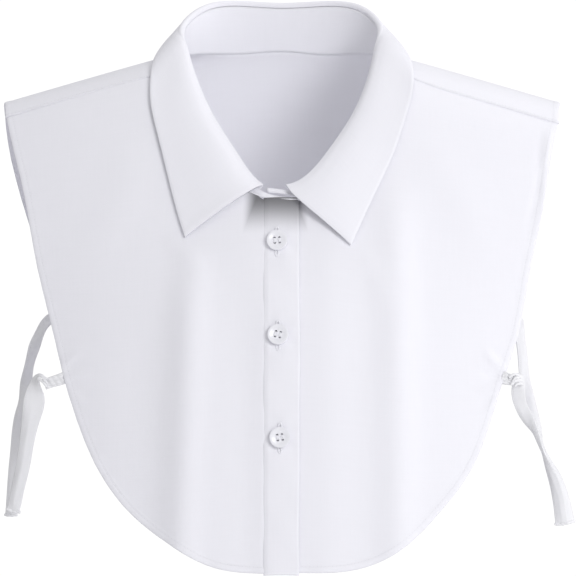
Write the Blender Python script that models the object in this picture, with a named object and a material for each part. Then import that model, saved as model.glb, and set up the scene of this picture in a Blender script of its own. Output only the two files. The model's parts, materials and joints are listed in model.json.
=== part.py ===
"""A detachable shirt collar with a short bib front and back, hollow as when it is worn.

Metres, +Z up, the front faces -Y. The origin is the middle of the neck opening, level with the
tops of the shoulders. Tables are in millimetres. Right and left are the wearer's, so the
wearer's right side lies at -X.
"""

import math

import bmesh
import bpy
import numpy as np
from mathutils import Matrix, Vector

MM = 0.001

# Driving sizes, millimetres.
SHOULDER_HALF = 174.0  # middle to the end of the shoulder
RIDGE_TOP = 20.6  # height that the two shoulder slopes would reach at the middle
RIDGE_SLOPE = 0.296
RIDGE_ROUNDING = 30.0
BODY_CLOTH = 1.0
PLACKET_CLOTH = 1.6
COLLAR_CLOTH = 1.4
TIE_CLOTH = 1.0
SEAM_GAP = 0.6  # between the edges of two walls that meet at a seam
NECK_INSET = 1.5  # from the neck line to the body cloth, clear of the leaning stand
STAND_LIFT = 0.5  # from the neck line up to the stand's lower edge
PLACKET_LEFT, PLACKET_RIGHT = -11.2, 10.5  # its sewn edge and its free edge
UNDERLAP_EDGE = -9.0  # where the wearer's left front ends, under the placket
UNDERLAP_DEPTH = 1.5
UNDERLAP_START = 32.0  # from here to the placket the left front dips under it
ROLL_RADIUS = 1.5  # of the collar's fold
ROLL_STAND = 4.0  # how far the leaf reaches down inside the fold, to meet the stand
ROLL_SHARE = 0.45  # the same where the stand is low, as a share of its height
ROLL_ANGLES = (0.0, 60.0, 120.0, 180.0)
ROLL_GAP = 1.4  # between the stand's upper edge and the leaf's inner edge
LEAF_SHARES = (0.2, 0.4, 0.6, 0.8, 1.0)  # rings of the leaf below its fold
LEAF_START_DOWN, LEAF_START_OUT = 0.22, 0.13  # the bow of the leaf's fall, as shares of its reach:
LEAF_END_BACK, LEAF_END_OUT = 0.35, 0.08  # how it leaves the fold and how it meets its edge
PLACKET_LIFT = 0.3
FRONT_HEM = -322.6
PLACKET_HEM = -323.2
BUTTON_RADIUS = 6.35
BUTTON_HEIGHT = 2.4
BUTTON_HOLE_RADIUS = 0.8
BUTTON_HOLE_REACH = 1.5
BUTTON_GAP = 0.35
BUTTON_SIDES = 20
BUTTON_PROFILE = (  # from the underside round the rim to the dished middle: radius, height
    (0.0, 0.0), (0.80, 0.0), (1.0, 0.30), (1.0, 0.62), (0.90, 0.98), (0.80, 1.0), (0.66, 0.80), (0.0, 0.72)
)
BUTTON_LEVELS = (("button_1", -3.0, -119.0), ("button_2", -2.4, -176.5), ("button_3", -1.2, -239.0))

WHITE_CLOTH = ("white poplin", (0.86, 0.86, 0.89, 1.0), 0.75)
WHITE_TAPE = ("white tape", (0.80, 0.80, 0.82, 1.0), 0.6)
WHITE_BUTTON = ("white button", (0.88, 0.88, 0.90, 1.0), 0.3)

# The figure's shape from the back hem over the shoulder to the front hem, at the middle and at
# the end of the shoulder: y, and the drop below the shoulder's ridge. Columns: middle_y,
# middle_drop, end_y, end_drop.
FORM = {
    "back hem": (79.0, 335.0, 45.0, 300.0),
    "back waist": (81.0, 265.0, 45.5, 235.0),
    "low shoulder blade": (82.0, 200.0, 44.5, 175.0),
    "shoulder blade": (79.5, 145.0, 42.0, 125.0),
    "upper back": (74.0, 95.0, 37.0, 80.0),
    "yoke": (67.0, 52.0, 30.5, 42.0),
    "back neck": (59.0, 21.0, 24.0, 18.0),
    "back of shoulder": (49.0, 6.0, 16.0, 6.0),
    "top, behind": (26.0, 1.0, 8.0, 1.2),
    "ridge": (0.0, 0.0, 0.0, 0.0),
    "top, in front": (-18.0, 2.0, -8.0, 1.2),
    "front of shoulder": (-35.0, 10.0, -16.0, 6.0),
    "collar bone": (-48.0, 28.0, -24.0, 18.0),
    "upper chest": (-59.0, 62.0, -31.0, 42.0),
    "front neck": (-69.0, 105.0, -37.5, 80.0),
    "chest": (-82.0, 152.0, -42.0, 120.0),
    "full chest": (-93.0, 202.0, -45.0, 165.0),
    "below chest": (-98.0, 250.0, -47.0, 210.0),
    "waist": (-99.0, 300.0, -48.0, 255.0),
    "front hem": (-98.5, 345.0, -48.0, 300.0),
}

# The largest soft folds: a line from top to bottom (across, level), how far the cloth stands out
# (minus is a trough), the half width, and over what height it fades in. Columns: face, top_x,
# top_z, bottom_x, bottom_z, stands_out, half_width, fade.
FOLDS = {
    "right ridge": ("front", -54.0, -105.0, -63.0, -322.0, 4.2, 13.0, 60.0),
    "right trough": ("front", -84.0, -130.0, -88.0, -322.0, -1.6, 20.0, 80.0),
    "beside placket": ("front", -24.0, -130.0, -22.0, -322.0, -1.6, 12.0, 60.0),
    "left ridge": ("front", 71.0, -70.0, 71.0, -322.0, 3.4, 12.0, 50.0),
    "left trough": ("front", 51.0, -120.0, 50.0, -322.0, -1.2, 16.0, 70.0),
    "back right ridge": ("back", -58.0, -90.0, -66.0, -305.0, 3.6, 16.0, 70.0),
    "back middle ridge": ("back", 8.0, -120.0, 12.0, -305.0, 2.4, 20.0, 80.0),
    "back left ridge": ("back", 64.0, -100.0, 74.0, -305.0, 3.2, 15.0, 70.0),
}

# Outer edges of the fronts and the back, from the shoulder to the hem: level, and how far across
# on each side.
EDGE_COLUMNS = ("level", "right_x", "left_x")
FRONT_EDGE = {
    "upper armhole": (-62.0, -167.0, 168.0),
    "armhole": (-93.0, -159.5, 163.0),
    "armhole, low": (-136.0, -151.2, 153.8),
    "side": (-183.0, -139.4, 144.0),
    "tie": (-203.0, -134.5, 137.0),
    "below tie": (-223.0, -128.3, 130.6),
    "low side": (-262.0, -111.5, 114.8),
    "hem, low": (-287.0, -92.0, 95.4),
    "hem, round": (-305.0, -68.5, 77.0),
    "hem, flat": (-318.4, -43.0, 52.0),
    "hem": (-322.0, -21.0, 22.0),
}
BACK_EDGE = {
    "upper armhole": (-62.0, -172.0, 168.5),
    "armhole": (-93.0, -164.5, 160.5),
    "tie": (-165.0, -140.0, 141.0),
    "low side": (-240.0, -107.0, 109.0),
    "hem, low": (-272.0, -79.0, 81.0),
    "hem, round": (-291.0, -47.0, 49.0),
}
BACK_HEM = -299.0
SHOULDER_SEAM_DROP = {"right": 10.0, "left": 14.0}  # below the ridge, in front of it
SHOULDER_SEAM_NECK = 40.0  # where it leaves the neck line, along the form
SHOULDER_SEAM_END = 1.6  # how far it stops short of the ridge's own end
SHOULDER_SEAM_BLEND = 0.35  # share of its length over which it turns towards the neck line

# The collar from the wearer's right front end round the back to the left front end. The neck line
# is given across and along the form from the ridge (minus is behind it), the fold in space, and
# the leaf's edge across and along the form with its lift off the cloth. Columns: neck_x,
# neck_along, fold_x, fold_y, fold_z, edge_x, edge_along, edge_lift.
COLLAR = {
    "right front end": (-17.0, 134.0, -12.3, -61.0, -85.5, -59.5, 155.6, 3.6),
    "right of throat": (-37.0, 111.8, -29.0, -54.0, -65.0, -66.3, 130.0, 4.6),
    "right neck, low": (-51.5, 85.6, -43.0, -46.0, -43.0, -72.5, 103.0, 5.0),
    "right neck": (-63.0, 53.6, -54.6, -32.0, -18.0, -78.7, 75.0, 4.6),
    "right side": (-67.5, 15.0, -61.3, -3.0, 9.0, -81.0, 40.0, 3.4),
    "right shoulder": (-63.0, -22.0, -59.0, 19.0, 21.0, -76.0, -4.0, 2.6),
    "right behind": (-44.0, -44.5, -46.5, 35.5, 31.2, -62.0, -40.0, 3.2),
    "back": (0.0, -53.8, 0.0, 47.0, 32.6, 0.0, -63.0, 3.4),
    "left behind": (44.0, -44.5, 47.5, 35.5, 31.0, 62.0, -40.0, 3.2),
    "left shoulder": (63.0, -22.0, 58.4, 19.0, 21.0, 75.0, -4.0, 2.6),
    "left side": (67.5, 15.0, 59.4, -3.0, 7.4, 80.6, 36.0, 5.2),
    "left neck": (63.0, 53.6, 55.0, -31.0, -17.0, 77.5, 68.0, 5.0),
    "left neck, low": (53.0, 83.0, 45.5, -44.0, -40.0, 69.0, 98.0, 5.4),
    "left of throat": (39.0, 109.0, 31.0, -54.0, -61.5, 56.0, 130.0, 5.2),
    "left front end": (6.0, 135.2, 3.0, -62.0, -84.8, 42.2, 163.5, 4.0),
}
# The stand goes on past the leaf at both ends: the right one lies over the left one. Columns:
# neck_x, neck_along, fold_x, fold_y, fold_z.
STAND_RIGHT_END = {
    "overlap tip": (10.4, 138.0, 10.0, -66.2, -90.8),
    "overlap": (-2.0, 138.4, -1.0, -64.8, -90.0),
}
STAND_LEFT_END = {
    "under": (-2.0, 134.0, -3.0, -60.6, -84.8),
    "under tip": (-9.0, 133.2, -10.0, -59.6, -84.2),
}
STAND_OVER_LIFT = 0.7  # the right end lies this far out, and the left one this far in
STAND_UNDER_LIFT = -1.0

SIGN = {"right": -1.0, "left": 1.0}
FIRST_END = {"right": 0, "left": -1}  # which end of the collar's rows is at the front there
MIDDLE_EDGE = {"right": PLACKET_LEFT - SEAM_GAP, "left": UNDERLAP_EDGE}
# The neck line from there to where it meets the collar's own line, as (across, along).
MIDDLE_NECK = {"right": ((-11.8, 138.4),), "left": ((-9.0, 139.2), (12.0, 138.6))}
MIDDLE_NECK_END = {"right": 12.0, "left": 22.0}

# The ties: middle line in space, width, and the turn of the tape's face away from the front.
# Columns: x, y, z, width, turn.
TIES = {
    "tie_front_right": (
        (-146.0, -61.6, -206.0, 6.6, 80.0),
        (-147.0, -60.8, -203.0, 6.4, 80.0),
        (-150.0, -59.6, -202.0, 6.6, 72.0),
        (-152.3, -58.0, -205.8, 8.0, 45.0),
        (-153.1, -55.0, -214.8, 12.6, 6.0),
        (-155.8, -48.0, -229.3, 11.2, 0.0),
        (-158.7, -38.0, -243.9, 9.0, 0.0),
        (-161.5, -28.0, -258.4, 8.6, 4.0),
        (-165.0, -19.0, -273.0, 8.0, 8.0),
        (-168.0, -12.0, -286.7, 7.8, 8.0),
    ),
    "tie_back_right": (
        (-140.7, 56.8, -165.0, 7.0, 10.0),
        (-145.4, 56.4, -166.2, 7.0, 16.0),
        (-149.5, 55.4, -168.9, 7.0, 28.0),
        (-154.8, 53.4, -177.7, 7.0, 50.0),
        (-158.9, 49.0, -190.4, 7.0, 50.0),
        (-161.5, 43.0, -203.2, 7.0, 30.0),
        (-163.9, 36.0, -216.3, 7.0, 36.0),
        (-166.0, 28.0, -230.9, 7.0, 30.0),
        (-167.7, 20.0, -245.2, 7.0, 24.0),
        (-168.6, 12.5, -259.5, 7.0, 20.0),
        (-169.4, 6.0, -273.8, 7.0, 20.0),
        (-170.1, 0.5, -289.6, 7.0, 12.0),
    ),
    "tie_front_left": (
        (143.4, -62.6, -206.4, 6.4, -80.0),
        (143.7, -62.0, -202.8, 6.4, -80.0),
        (145.6, -61.0, -202.2, 6.6, -66.0),
        (146.3, -59.0, -206.8, 8.0, -20.0),
        (146.9, -54.0, -217.2, 8.0, 0.0),
        (151.4, -46.0, -227.2, 7.6, 20.0),
        (156.4, -36.0, -236.7, 7.2, 58.0),
        (161.4, -25.5, -248.1, 7.0, 84.0),
        (166.1, -18.0, -259.7, 7.0, 58.0),
        (170.0, -13.0, -270.0, 7.2, 38.0),
        (172.9, -10.0, -281.2, 7.4, 22.0),
        (174.8, -8.0, -294.9, 7.6, 12.0),
    ),
    "tie_back_left": (
        (141.6, 56.8, -165.0, 7.0, -4.0),
        (146.4, 56.4, -165.6, 7.0, -8.0),
        (149.4, 55.6, -167.6, 7.0, -14.0),
        (150.7, 54.0, -173.0, 7.0, -26.0),
        (152.5, 50.2, -188.9, 7.0, -32.0),
        (153.8, 45.0, -204.9, 7.0, -24.0),
        (156.0, 38.0, -215.3, 7.0, -20.0),
        (158.9, 29.0, -227.4, 7.0, -30.0),
        (162.0, 19.0, -238.4, 7.0, -62.0),
        (165.3, 10.0, -250.0, 7.0, -84.0),
        (170.5, 4.0, -260.4, 7.0, -60.0),
        (175.0, 1.0, -270.4, 7.0, -50.0),
        (178.0, -0.5, -281.5, 7.0, -40.0),
        (180.4, -1.0, -294.0, 7.0, -34.0),
    ),
}
TABS = {
    "tab_front_right": (
        (-134.9, -64.2, -203.0, 7.0, 0.0),
        (-140.0, -63.6, -205.0, 6.6, 4.0),
        (-144.8, -63.2, -206.4, 6.6, 8.0),
    ),
    "tab_front_left": (
        (138.0, -63.8, -203.4, 7.0, 0.0),
        (139.6, -63.5, -203.9, 6.6, -4.0),
        (142.2, -63.2, -204.6, 6.2, -10.0),
    ),
}

# How finely each piece is cut into faces.
PANEL_ROWS = 13
FRONT_STEPS, BACK_STEPS = 29, 37
PLACKET_STEPS = 3
PLACKET_ROWS = 20
STAND_STEPS = 48
TIE_STEPS = 26
TAB_STEPS = 5
LEVEL_STEPS, SEARCH_STEPS, NECK_SAMPLES = 500, 1001, 60  # how finely the curves are searched


def spline(knots, values):
    """A smooth curve through the values at the knots (a natural cubic), as a function."""
    knots = np.asarray(knots, float)
    values = np.asarray(values, float)
    count = len(knots)
    step = np.diff(knots)
    slope = np.diff(values, axis=0) / step[:, None]
    matrix = np.eye(count)
    right = np.zeros(values.shape)
    for i in range(1, count - 1):
        matrix[i, i - 1 : i + 2] = step[i - 1], 2 * (step[i - 1] + step[i]), step[i]
        right[i] = 6 * (slope[i] - slope[i - 1])
    bend = np.linalg.solve(matrix, right)

    def at(where):
        where = np.clip(np.asarray(where, float), knots[0], knots[-1])
        i = np.clip(np.searchsorted(knots, where, side="right") - 1, 0, count - 2)
        h = step[i][..., None]
        a = ((knots[i + 1] - where) / step[i])[..., None]
        b = 1 - a
        curved = (a**3 - a) * bend[i] + (b**3 - b) * bend[i + 1]
        return a * values[i] + b * values[i + 1] + curved * h * h / 6

    return at


def lengths_along(points):
    """Distance from the first point to each point."""
    points = np.asarray(points, float)
    return np.concatenate([[0.0], np.cumsum(np.linalg.norm(np.diff(points, axis=0), axis=1))])


def path_through(points):
    """A smooth path through points, as a function of the share of its length."""
    knots = lengths_along(points)
    return spline(knots / knots[-1], points)


def smooth_step(value):
    value = np.clip(value, 0.0, 1.0)
    return value * value * (3.0 - 2.0 * value)


FORM_ROWS = np.array(list(FORM.values()))
FORM_KNOTS = lengths_along(FORM_ROWS[:, :2])
FORM_KNOTS -= FORM_KNOTS[list(FORM).index("ridge")]
FORM_CURVE = spline(FORM_KNOTS, FORM_ROWS)


def ridge_height(x):
    return RIDGE_TOP - RIDGE_SLOPE * np.sqrt(np.square(x) + RIDGE_ROUNDING**2)


def fold_height(x, z, face):
    """How far the soft folds of one face stand out at a place."""
    total = np.zeros(np.shape(x))
    for on, top_x, top_z, bottom_x, bottom_z, stands_out, half_width, fade in FOLDS.values():
        if on != face:
            continue
        share = (top_z - z) / (top_z - bottom_z)
        line = top_x + (bottom_x - top_x) * share
        total = total + (
            stands_out * np.exp(-(((x - line) / half_width) ** 2)) * smooth_step((top_z - z) / fade)
        )
    return total


def form_point(x, along):
    """The figure's surface at a distance across and a distance along it from the ridge."""
    x, along = np.broadcast_arrays(np.asarray(x, float), np.asarray(along, float))
    middle_y, middle_drop, end_y, end_drop = np.moveaxis(FORM_CURVE(along), -1, 0)
    side = np.clip(np.abs(x) / SHOULDER_HALF, 0.0, 1.1) ** 2
    y = middle_y * (1 - side) + end_y * side
    z = ridge_height(x) - middle_drop * (1 - side) - end_drop * side
    y = y - np.where(along > 0, fold_height(x, z, "front"), -fold_height(x, z, "back"))
    return np.stack([x, y, z], axis=-1)


def form_normal(x, along):
    """Straight out of the figure."""
    small = 0.5
    across = form_point(np.add(x, small), along) - form_point(np.subtract(x, small), along)
    down = form_point(x, np.add(along, small)) - form_point(x, np.subtract(along, small))
    normal = np.cross(down, across)
    return normal / np.linalg.norm(normal, axis=-1, keepdims=True)


def lifted(x, along, lift):
    """A point of the form moved straight out."""
    return form_point(x, along) + form_normal(x, along) * np.asarray(lift, float)[..., None]


def along_at_level(x, level, face):
    """The distance along the form at which a place across is at a level."""
    steps = np.linspace(0.0, FORM_KNOTS[-1] if face == "front" else FORM_KNOTS[0], LEVEL_STEPS)
    heights = form_point(np.full(len(steps), x), steps)[:, 2]
    return float(np.interp(-level, -heights, steps))


def underlap(x):
    """The wearer's left front dips under the placket near the middle."""
    return -UNDERLAP_DEPTH * smooth_step((UNDERLAP_START - x) / (UNDERLAP_START - PLACKET_RIGHT))


def linked(name, shape, finish):
    """A named object made from a bmesh, with its finish."""
    mesh = bpy.data.meshes.new(name)
    bmesh.ops.recalc_face_normals(shape, faces=shape.faces)
    shape.to_mesh(mesh)
    shape.free()
    mesh.shade_smooth()
    mesh.materials.append(finish)
    made = bpy.data.objects.new(name, mesh)
    bpy.context.scene.collection.objects.link(made)
    return made


def sheet(name, points, thickness, finish):
    """A named sheet through a grid of points in millimetres, given its wall by Solidify."""
    rows, columns = points.shape[:2]
    shape = bmesh.new()
    corners = [[shape.verts.new(point * MM) for point in row] for row in points]
    for r in range(rows - 1):
        for c in range(columns - 1):
            near, far = corners[r], corners[r + 1]
            shape.faces.new((near[c], far[c], far[c + 1], near[c + 1]))
    made = linked(name, shape, finish)
    wall = made.modifiers.new("wall", "SOLIDIFY")
    wall.thickness = thickness * MM
    wall.offset = 0.0
    wall.use_even_offset = True
    return made


def finish_of(name, colour, roughness):
    finish = bpy.data.materials.new(name)
    finish.use_nodes = True
    shader = finish.node_tree.nodes["Principled BSDF"]
    shader.inputs["Base Color"].default_value = colour
    shader.inputs["Roughness"].default_value = roughness
    shader.inputs["Metallic"].default_value = 0.0
    return finish


def even(steps):
    return np.linspace(0.0, 1.0, steps + 1)


def patch(top, bottom, left, right):
    """Points (across, along) that fill four edges: rows run down, columns across."""
    p = even(len(top) - 1)[None, :, None]
    q = even(len(left) - 1)[:, None, None]
    corners = (1 - q) * ((1 - p) * top[0] + p * top[-1]) + q * ((1 - p) * bottom[0] + p * bottom[-1])
    across = (1 - p) * left[:, None] + p * right[:, None]
    return (1 - q) * top[None] + q * bottom[None] + across - corners


def unit(vectors):
    return vectors / np.linalg.norm(vectors, axis=-1, keepdims=True)


# The collar's lines as curves of one share of the fold's length: the neck line (across, along,
# lift), the fold in space, and the leaf's edge (across, along, lift).
COLLAR_ROWS = np.array(list(COLLAR.values()))
RIGHT_END = np.array(list(STAND_RIGHT_END.values()))
LEFT_END = np.array(list(STAND_LEFT_END.values()))
STAND_FLAT = np.vstack([RIGHT_END[:, :2], COLLAR_ROWS[:, :2], LEFT_END[:, :2]])
STAND_EXTRA = np.zeros(len(STAND_FLAT))
STAND_EXTRA[: len(RIGHT_END)] = STAND_OVER_LIFT
STAND_EXTRA[-len(LEFT_END) :] = STAND_UNDER_LIFT
FOLD_ROWS = np.vstack([RIGHT_END[:, 2:], COLLAR_ROWS[:, 2:5], LEFT_END[:, 2:]])
COLLAR_KNOTS = lengths_along(FOLD_ROWS) / lengths_along(FOLD_ROWS)[-1]
LEAF_KNOTS = COLLAR_KNOTS[len(RIGHT_END) : -len(LEFT_END)]
NECK_LINE = spline(COLLAR_KNOTS, np.column_stack([STAND_FLAT, STAND_EXTRA]))
FOLD_LINE = spline(COLLAR_KNOTS, FOLD_ROWS)
LEAF_EDGE = spline(LEAF_KNOTS, COLLAR_ROWS[:, 5:])


def neck_points(share):
    """The neck line in space, where the stand's lower edge lies."""
    x, along, extra = np.moveaxis(NECK_LINE(share), -1, 0)
    under = (share > 0.5) & (along > 0.0)
    return lifted(x, along, extra + np.where(under, underlap(x), 0.0))


def neck_share(side):
    """Where on the neck line the shoulder seam of a side meets it, as a share of its length."""
    shares = np.linspace(LEAF_KNOTS[FIRST_END[side]], 0.5, SEARCH_STEPS)
    return float(shares[np.argmin(np.abs(NECK_LINE(shares)[:, 1] - SHOULDER_SEAM_NECK))])


def away_from_neck(line):
    """The neck line, run from right to left, moved off the stand along the cloth."""
    run = unit(np.gradient(line, axis=0))
    return line + np.stack([run[:, 1], -run[:, 0]], axis=-1) * NECK_INSET


def edge_points(table, side, face):
    """A side's outer edge from the shoulder to the hem, as points (across, along)."""
    column = EDGE_COLUMNS.index(side + "_x")
    return [(row[column], along_at_level(row[column], row[0], face)) for row in table.values()]


def shoulder_seam(side, neck_end, gap):
    """The shoulder seam from the neck to the end of the shoulder, as points (across, along)."""
    sign = SIGN[side]
    share = even(PANEL_ROWS)
    across = neck_end[0] + (sign * (SHOULDER_HALF - SHOULDER_SEAM_END) - neck_end[0]) * share
    levels = ridge_height(across) - SHOULDER_SEAM_DROP[side]
    along = np.array([along_at_level(x, level, "front") for x, level in zip(across, levels)])
    along += (neck_end[1] - along[0]) * smooth_step(1.0 - share / SHOULDER_SEAM_BLEND)
    return np.stack([across, along + gap], axis=-1)


def make_front(side, finish):
    """One front: its rows run from the neck line out to the armhole and the rounded hem."""
    middle_x = MIDDLE_EDGE[side]
    line = NECK_LINE(np.linspace(LEAF_KNOTS[FIRST_END[side]], neck_share(side), NECK_SAMPLES))[:, :2]
    line = line[np.abs(line[:, 0]) > MIDDLE_NECK_END[side]]
    line = path_through(np.vstack([MIDDLE_NECK[side], line]))(even(FRONT_STEPS))
    neck = away_from_neck(line) if side == "right" else away_from_neck(line[::-1])[::-1]
    neck[0, 0] = middle_x
    seam = shoulder_seam(side, neck[-1], SEAM_GAP / 2)
    neck[-1] = seam[0]
    hem = (middle_x, along_at_level(middle_x, FRONT_HEM, "front"))
    edge = path_through([hem] + edge_points(FRONT_EDGE, side, "front")[::-1] + [seam[-1]])
    outer = edge(even(FRONT_STEPS))
    middle = np.linspace(neck[0], outer[0], PANEL_ROWS + 1)
    x, along = np.moveaxis(patch(neck, outer, middle, seam), -1, 0)
    lift = underlap(x) if side == "left" else np.zeros(x.shape)
    return sheet("front_" + side, lifted(x, along, lift), BODY_CLOTH, finish)


def make_back(finish):
    """The back: it reaches over the shoulders to the seams in front of them."""
    neck = away_from_neck(
        NECK_LINE(np.linspace(neck_share("right"), neck_share("left"), BACK_STEPS + 1))[:, :2]
    )
    seams = {}
    edges = {}
    for side, end in (("right", 0), ("left", -1)):
        seams[side] = shoulder_seam(side, neck[end], -SEAM_GAP / 2)
        neck[end] = seams[side][0]
        shoulder = [seams[side][-1], (SIGN[side] * SHOULDER_HALF, 0.0)]
        edges[side] = shoulder + edge_points(BACK_EDGE, side, "back")
    hem = (0.0, along_at_level(0.0, BACK_HEM, "back"))
    outer = path_through(edges["right"] + [hem] + edges["left"][::-1])(even(BACK_STEPS))
    x, along = np.moveaxis(patch(neck, outer, seams["right"], seams["left"]), -1, 0)
    return sheet("back", form_point(x, along), BODY_CLOTH, finish)


def make_placket(finish):
    """The buttonhole strip on the wearer's right front, lapped over the left front."""
    bottom = along_at_level(0.0, PLACKET_HEM, "front")
    x, along = np.meshgrid(
        np.linspace(PLACKET_LEFT, PLACKET_RIGHT, PLACKET_STEPS + 1),
        np.linspace(MIDDLE_NECK["right"][0][1] + NECK_INSET, bottom, PLACKET_ROWS + 1),
    )
    return sheet("placket", lifted(x, along, np.full(x.shape, PLACKET_LIFT)), PLACKET_CLOTH, finish)


def make_stand(finish):
    """The band between the neck line and the fold, standing and leaning in."""
    share = even(STAND_STEPS)
    neck = neck_points(share)
    fold = FOLD_LINE(share)
    up = unit(fold - neck)
    height = np.linalg.norm(fold - neck, axis=1, keepdims=True)
    top = height - np.minimum(ROLL_STAND, height * ROLL_SHARE)
    rows = [neck + up * (STAND_LIFT + (top - STAND_LIFT) * part) for part in even(3)]
    return sheet("collar_stand", np.array(rows), COLLAR_CLOTH, finish)


def leaf_stations():
    """The stand's own stations between the leaf's two ends, and those ends."""
    share = even(STAND_STEPS)
    margin = 0.5 / STAND_STEPS
    inside = share[(share > LEAF_KNOTS[0] + margin) & (share < LEAF_KNOTS[-1] - margin)]
    return np.concatenate([LEAF_KNOTS[:1], inside, LEAF_KNOTS[-1:]])


def make_leaf(finish):
    """The leaf: up from the stand, rolled over the fold, down to its edge on the shoulders."""
    share = leaf_stations()
    neck = neck_points(share)
    fold = FOLD_LINE(share)
    edge = lifted(*np.moveaxis(LEAF_EDGE(share), -1, 0))
    height = np.linalg.norm(fold - neck, axis=1, keepdims=True)
    up = unit(fold - neck)
    out = unit(np.cross(up, np.gradient(fold, share, axis=0)))
    inside = np.minimum(ROLL_STAND, height * ROLL_SHARE) - ROLL_GAP
    centre = fold - up * ROLL_RADIUS + out * ROLL_RADIUS
    rows = [fold - up * inside]
    for angle in ROLL_ANGLES:
        turn = math.radians(angle)
        rows.append(centre + (up * math.sin(turn) - out * math.cos(turn)) * ROLL_RADIUS)
    start = rows[-1]
    reach = np.linalg.norm(edge - start, axis=1, keepdims=True)
    first = start + (out * LEAF_START_OUT - up * LEAF_START_DOWN) * reach
    second = edge + (start - edge) * LEAF_END_BACK + out * reach * LEAF_END_OUT
    for t in LEAF_SHARES:
        near = start * (1 - t) ** 3 + first * 3 * t * (1 - t) ** 2
        rows.append(near + second * 3 * t * t * (1 - t) + edge * t**3)
    return sheet("collar_leaf", np.array(rows), COLLAR_CLOTH, finish)


def make_tape(name, rows, steps, finish):
    """A flat tape along its middle line, with a width and a turn at each place."""
    rows = np.array(rows)
    knots = lengths_along(rows[:, :3])
    table = spline(knots / knots[-1], rows)(even(steps))
    middle = table[:, :3]
    run = unit(np.gradient(middle, axis=0))
    flat = unit(np.cross(run, np.array([0.0, 1.0, 0.0])))
    turn = np.radians(table[:, 4:5])
    side = flat * np.cos(turn) + np.cross(run, flat) * np.sin(turn)
    half = side * table[:, 3:4] / 2
    return sheet(name, np.array([middle - half, middle, middle + half]), TIE_CLOTH, finish)


def lathe(shape, profile, radius, height, sides):
    """Turns a closed profile, given as shares of a radius and a height, round Z."""
    rings = []
    for share_out, share_up in profile:
        count = sides if share_out else 1
        turns = [2 * math.pi * i / sides for i in range(count)]
        out = share_out * radius
        rings.append([shape.verts.new((out * math.cos(t), out * math.sin(t), share_up * height)) for t in turns])
    for near, far in zip(rings, rings[1:]):
        for i in range(sides):
            ring = (near[i % len(near)], near[(i + 1) % len(near)], far[(i + 1) % len(far)], far[i % len(far)])
            shape.faces.new(list(dict.fromkeys(ring)))


def make_button(name, x, level, finish):
    """A four-hole button lying on the placket, its Z straight out of the cloth."""
    along = along_at_level(x, level, "front")
    out = Vector(form_normal(x, along))
    side = Vector((0.0, 0.0, 1.0)).cross(out).normalized()
    seat = Vector(form_point(x, along)) + out * (PLACKET_LIFT + PLACKET_CLOTH / 2 + BUTTON_GAP)
    place = Matrix((side, out.cross(side), out)).transposed().to_4x4()
    place.translation = seat * MM
    shape = bmesh.new()
    lathe(shape, BUTTON_PROFILE, BUTTON_RADIUS * MM, BUTTON_HEIGHT * MM, BUTTON_SIDES)
    button = linked(name, shape, finish)
    button.matrix_world = place
    reach = BUTTON_HOLE_REACH * MM
    for i, (across, up) in enumerate(((1, 1), (-1, 1), (-1, -1), (1, -1))):
        bpy.ops.mesh.primitive_cylinder_add(
            vertices=8, radius=BUTTON_HOLE_RADIUS * MM, depth=3 * BUTTON_HEIGHT * MM
        )
        drill = bpy.context.object
        drill.name = f"{name} drill {i + 1}"
        drill.hide_render = True
        drill.display_type = "WIRE"
        drill.matrix_world = place @ Matrix.Translation((across * reach, up * reach, 0.0))
        hole = button.modifiers.new(f"hole {i + 1}", "BOOLEAN")
        hole.operation = "DIFFERENCE"
        hole.object = drill
    return button


def main():
    for item in list(bpy.data.objects):
        bpy.data.objects.remove(item, do_unlink=True)
    cloth = finish_of(*WHITE_CLOTH)
    tape = finish_of(*WHITE_TAPE)
    plastic = finish_of(*WHITE_BUTTON)
    make_front("right", cloth)
    make_front("left", cloth)
    make_back(cloth)
    make_placket(cloth)
    make_stand(cloth)
    make_leaf(cloth)
    for name, rows in TIES.items():
        make_tape(name, rows, TIE_STEPS, tape)
    for name, rows in TABS.items():
        make_tape(name, rows, TAB_STEPS, tape)
    for name, x, level in BUTTON_LEVELS:
        make_button(name, x, level, plastic)


main()
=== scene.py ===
# %% [markdown]
# # A detachable shirt collar
# This is a shirt collar on a short bib, front and back, that is worn under a jumper. The packed
# solids fix where every piece lies. Here each piece is made again as thin cloth, with its hems,
# folds, stitches, buttonholes and weave. All tables are in millimetres, as a pattern cutter
# would write them, and meshes are scaled to metres as they are made. Right and left are the
# wearer's, so the wearer's right side lies at -X, and the buttoned front faces -Y.

# %% Load the fixed frame
import json
import math

import bmesh
import bpy
import numpy as np
from mathutils import Matrix, Vector

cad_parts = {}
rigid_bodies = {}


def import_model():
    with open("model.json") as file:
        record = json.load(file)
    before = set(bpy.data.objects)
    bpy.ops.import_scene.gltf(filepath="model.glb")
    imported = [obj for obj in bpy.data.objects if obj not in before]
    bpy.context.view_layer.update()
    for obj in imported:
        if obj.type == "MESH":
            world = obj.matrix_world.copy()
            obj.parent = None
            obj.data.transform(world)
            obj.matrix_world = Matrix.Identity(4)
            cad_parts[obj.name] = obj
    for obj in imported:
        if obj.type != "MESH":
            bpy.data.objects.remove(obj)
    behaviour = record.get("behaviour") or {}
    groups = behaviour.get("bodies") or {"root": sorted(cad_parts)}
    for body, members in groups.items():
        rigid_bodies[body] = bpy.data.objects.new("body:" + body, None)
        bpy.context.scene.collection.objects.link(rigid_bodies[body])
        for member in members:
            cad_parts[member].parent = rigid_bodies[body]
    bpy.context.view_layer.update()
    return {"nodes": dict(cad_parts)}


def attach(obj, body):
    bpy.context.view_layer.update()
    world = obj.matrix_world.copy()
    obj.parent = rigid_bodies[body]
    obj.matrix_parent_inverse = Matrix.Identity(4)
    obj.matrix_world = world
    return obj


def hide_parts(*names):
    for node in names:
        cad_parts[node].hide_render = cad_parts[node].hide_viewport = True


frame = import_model()
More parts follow.
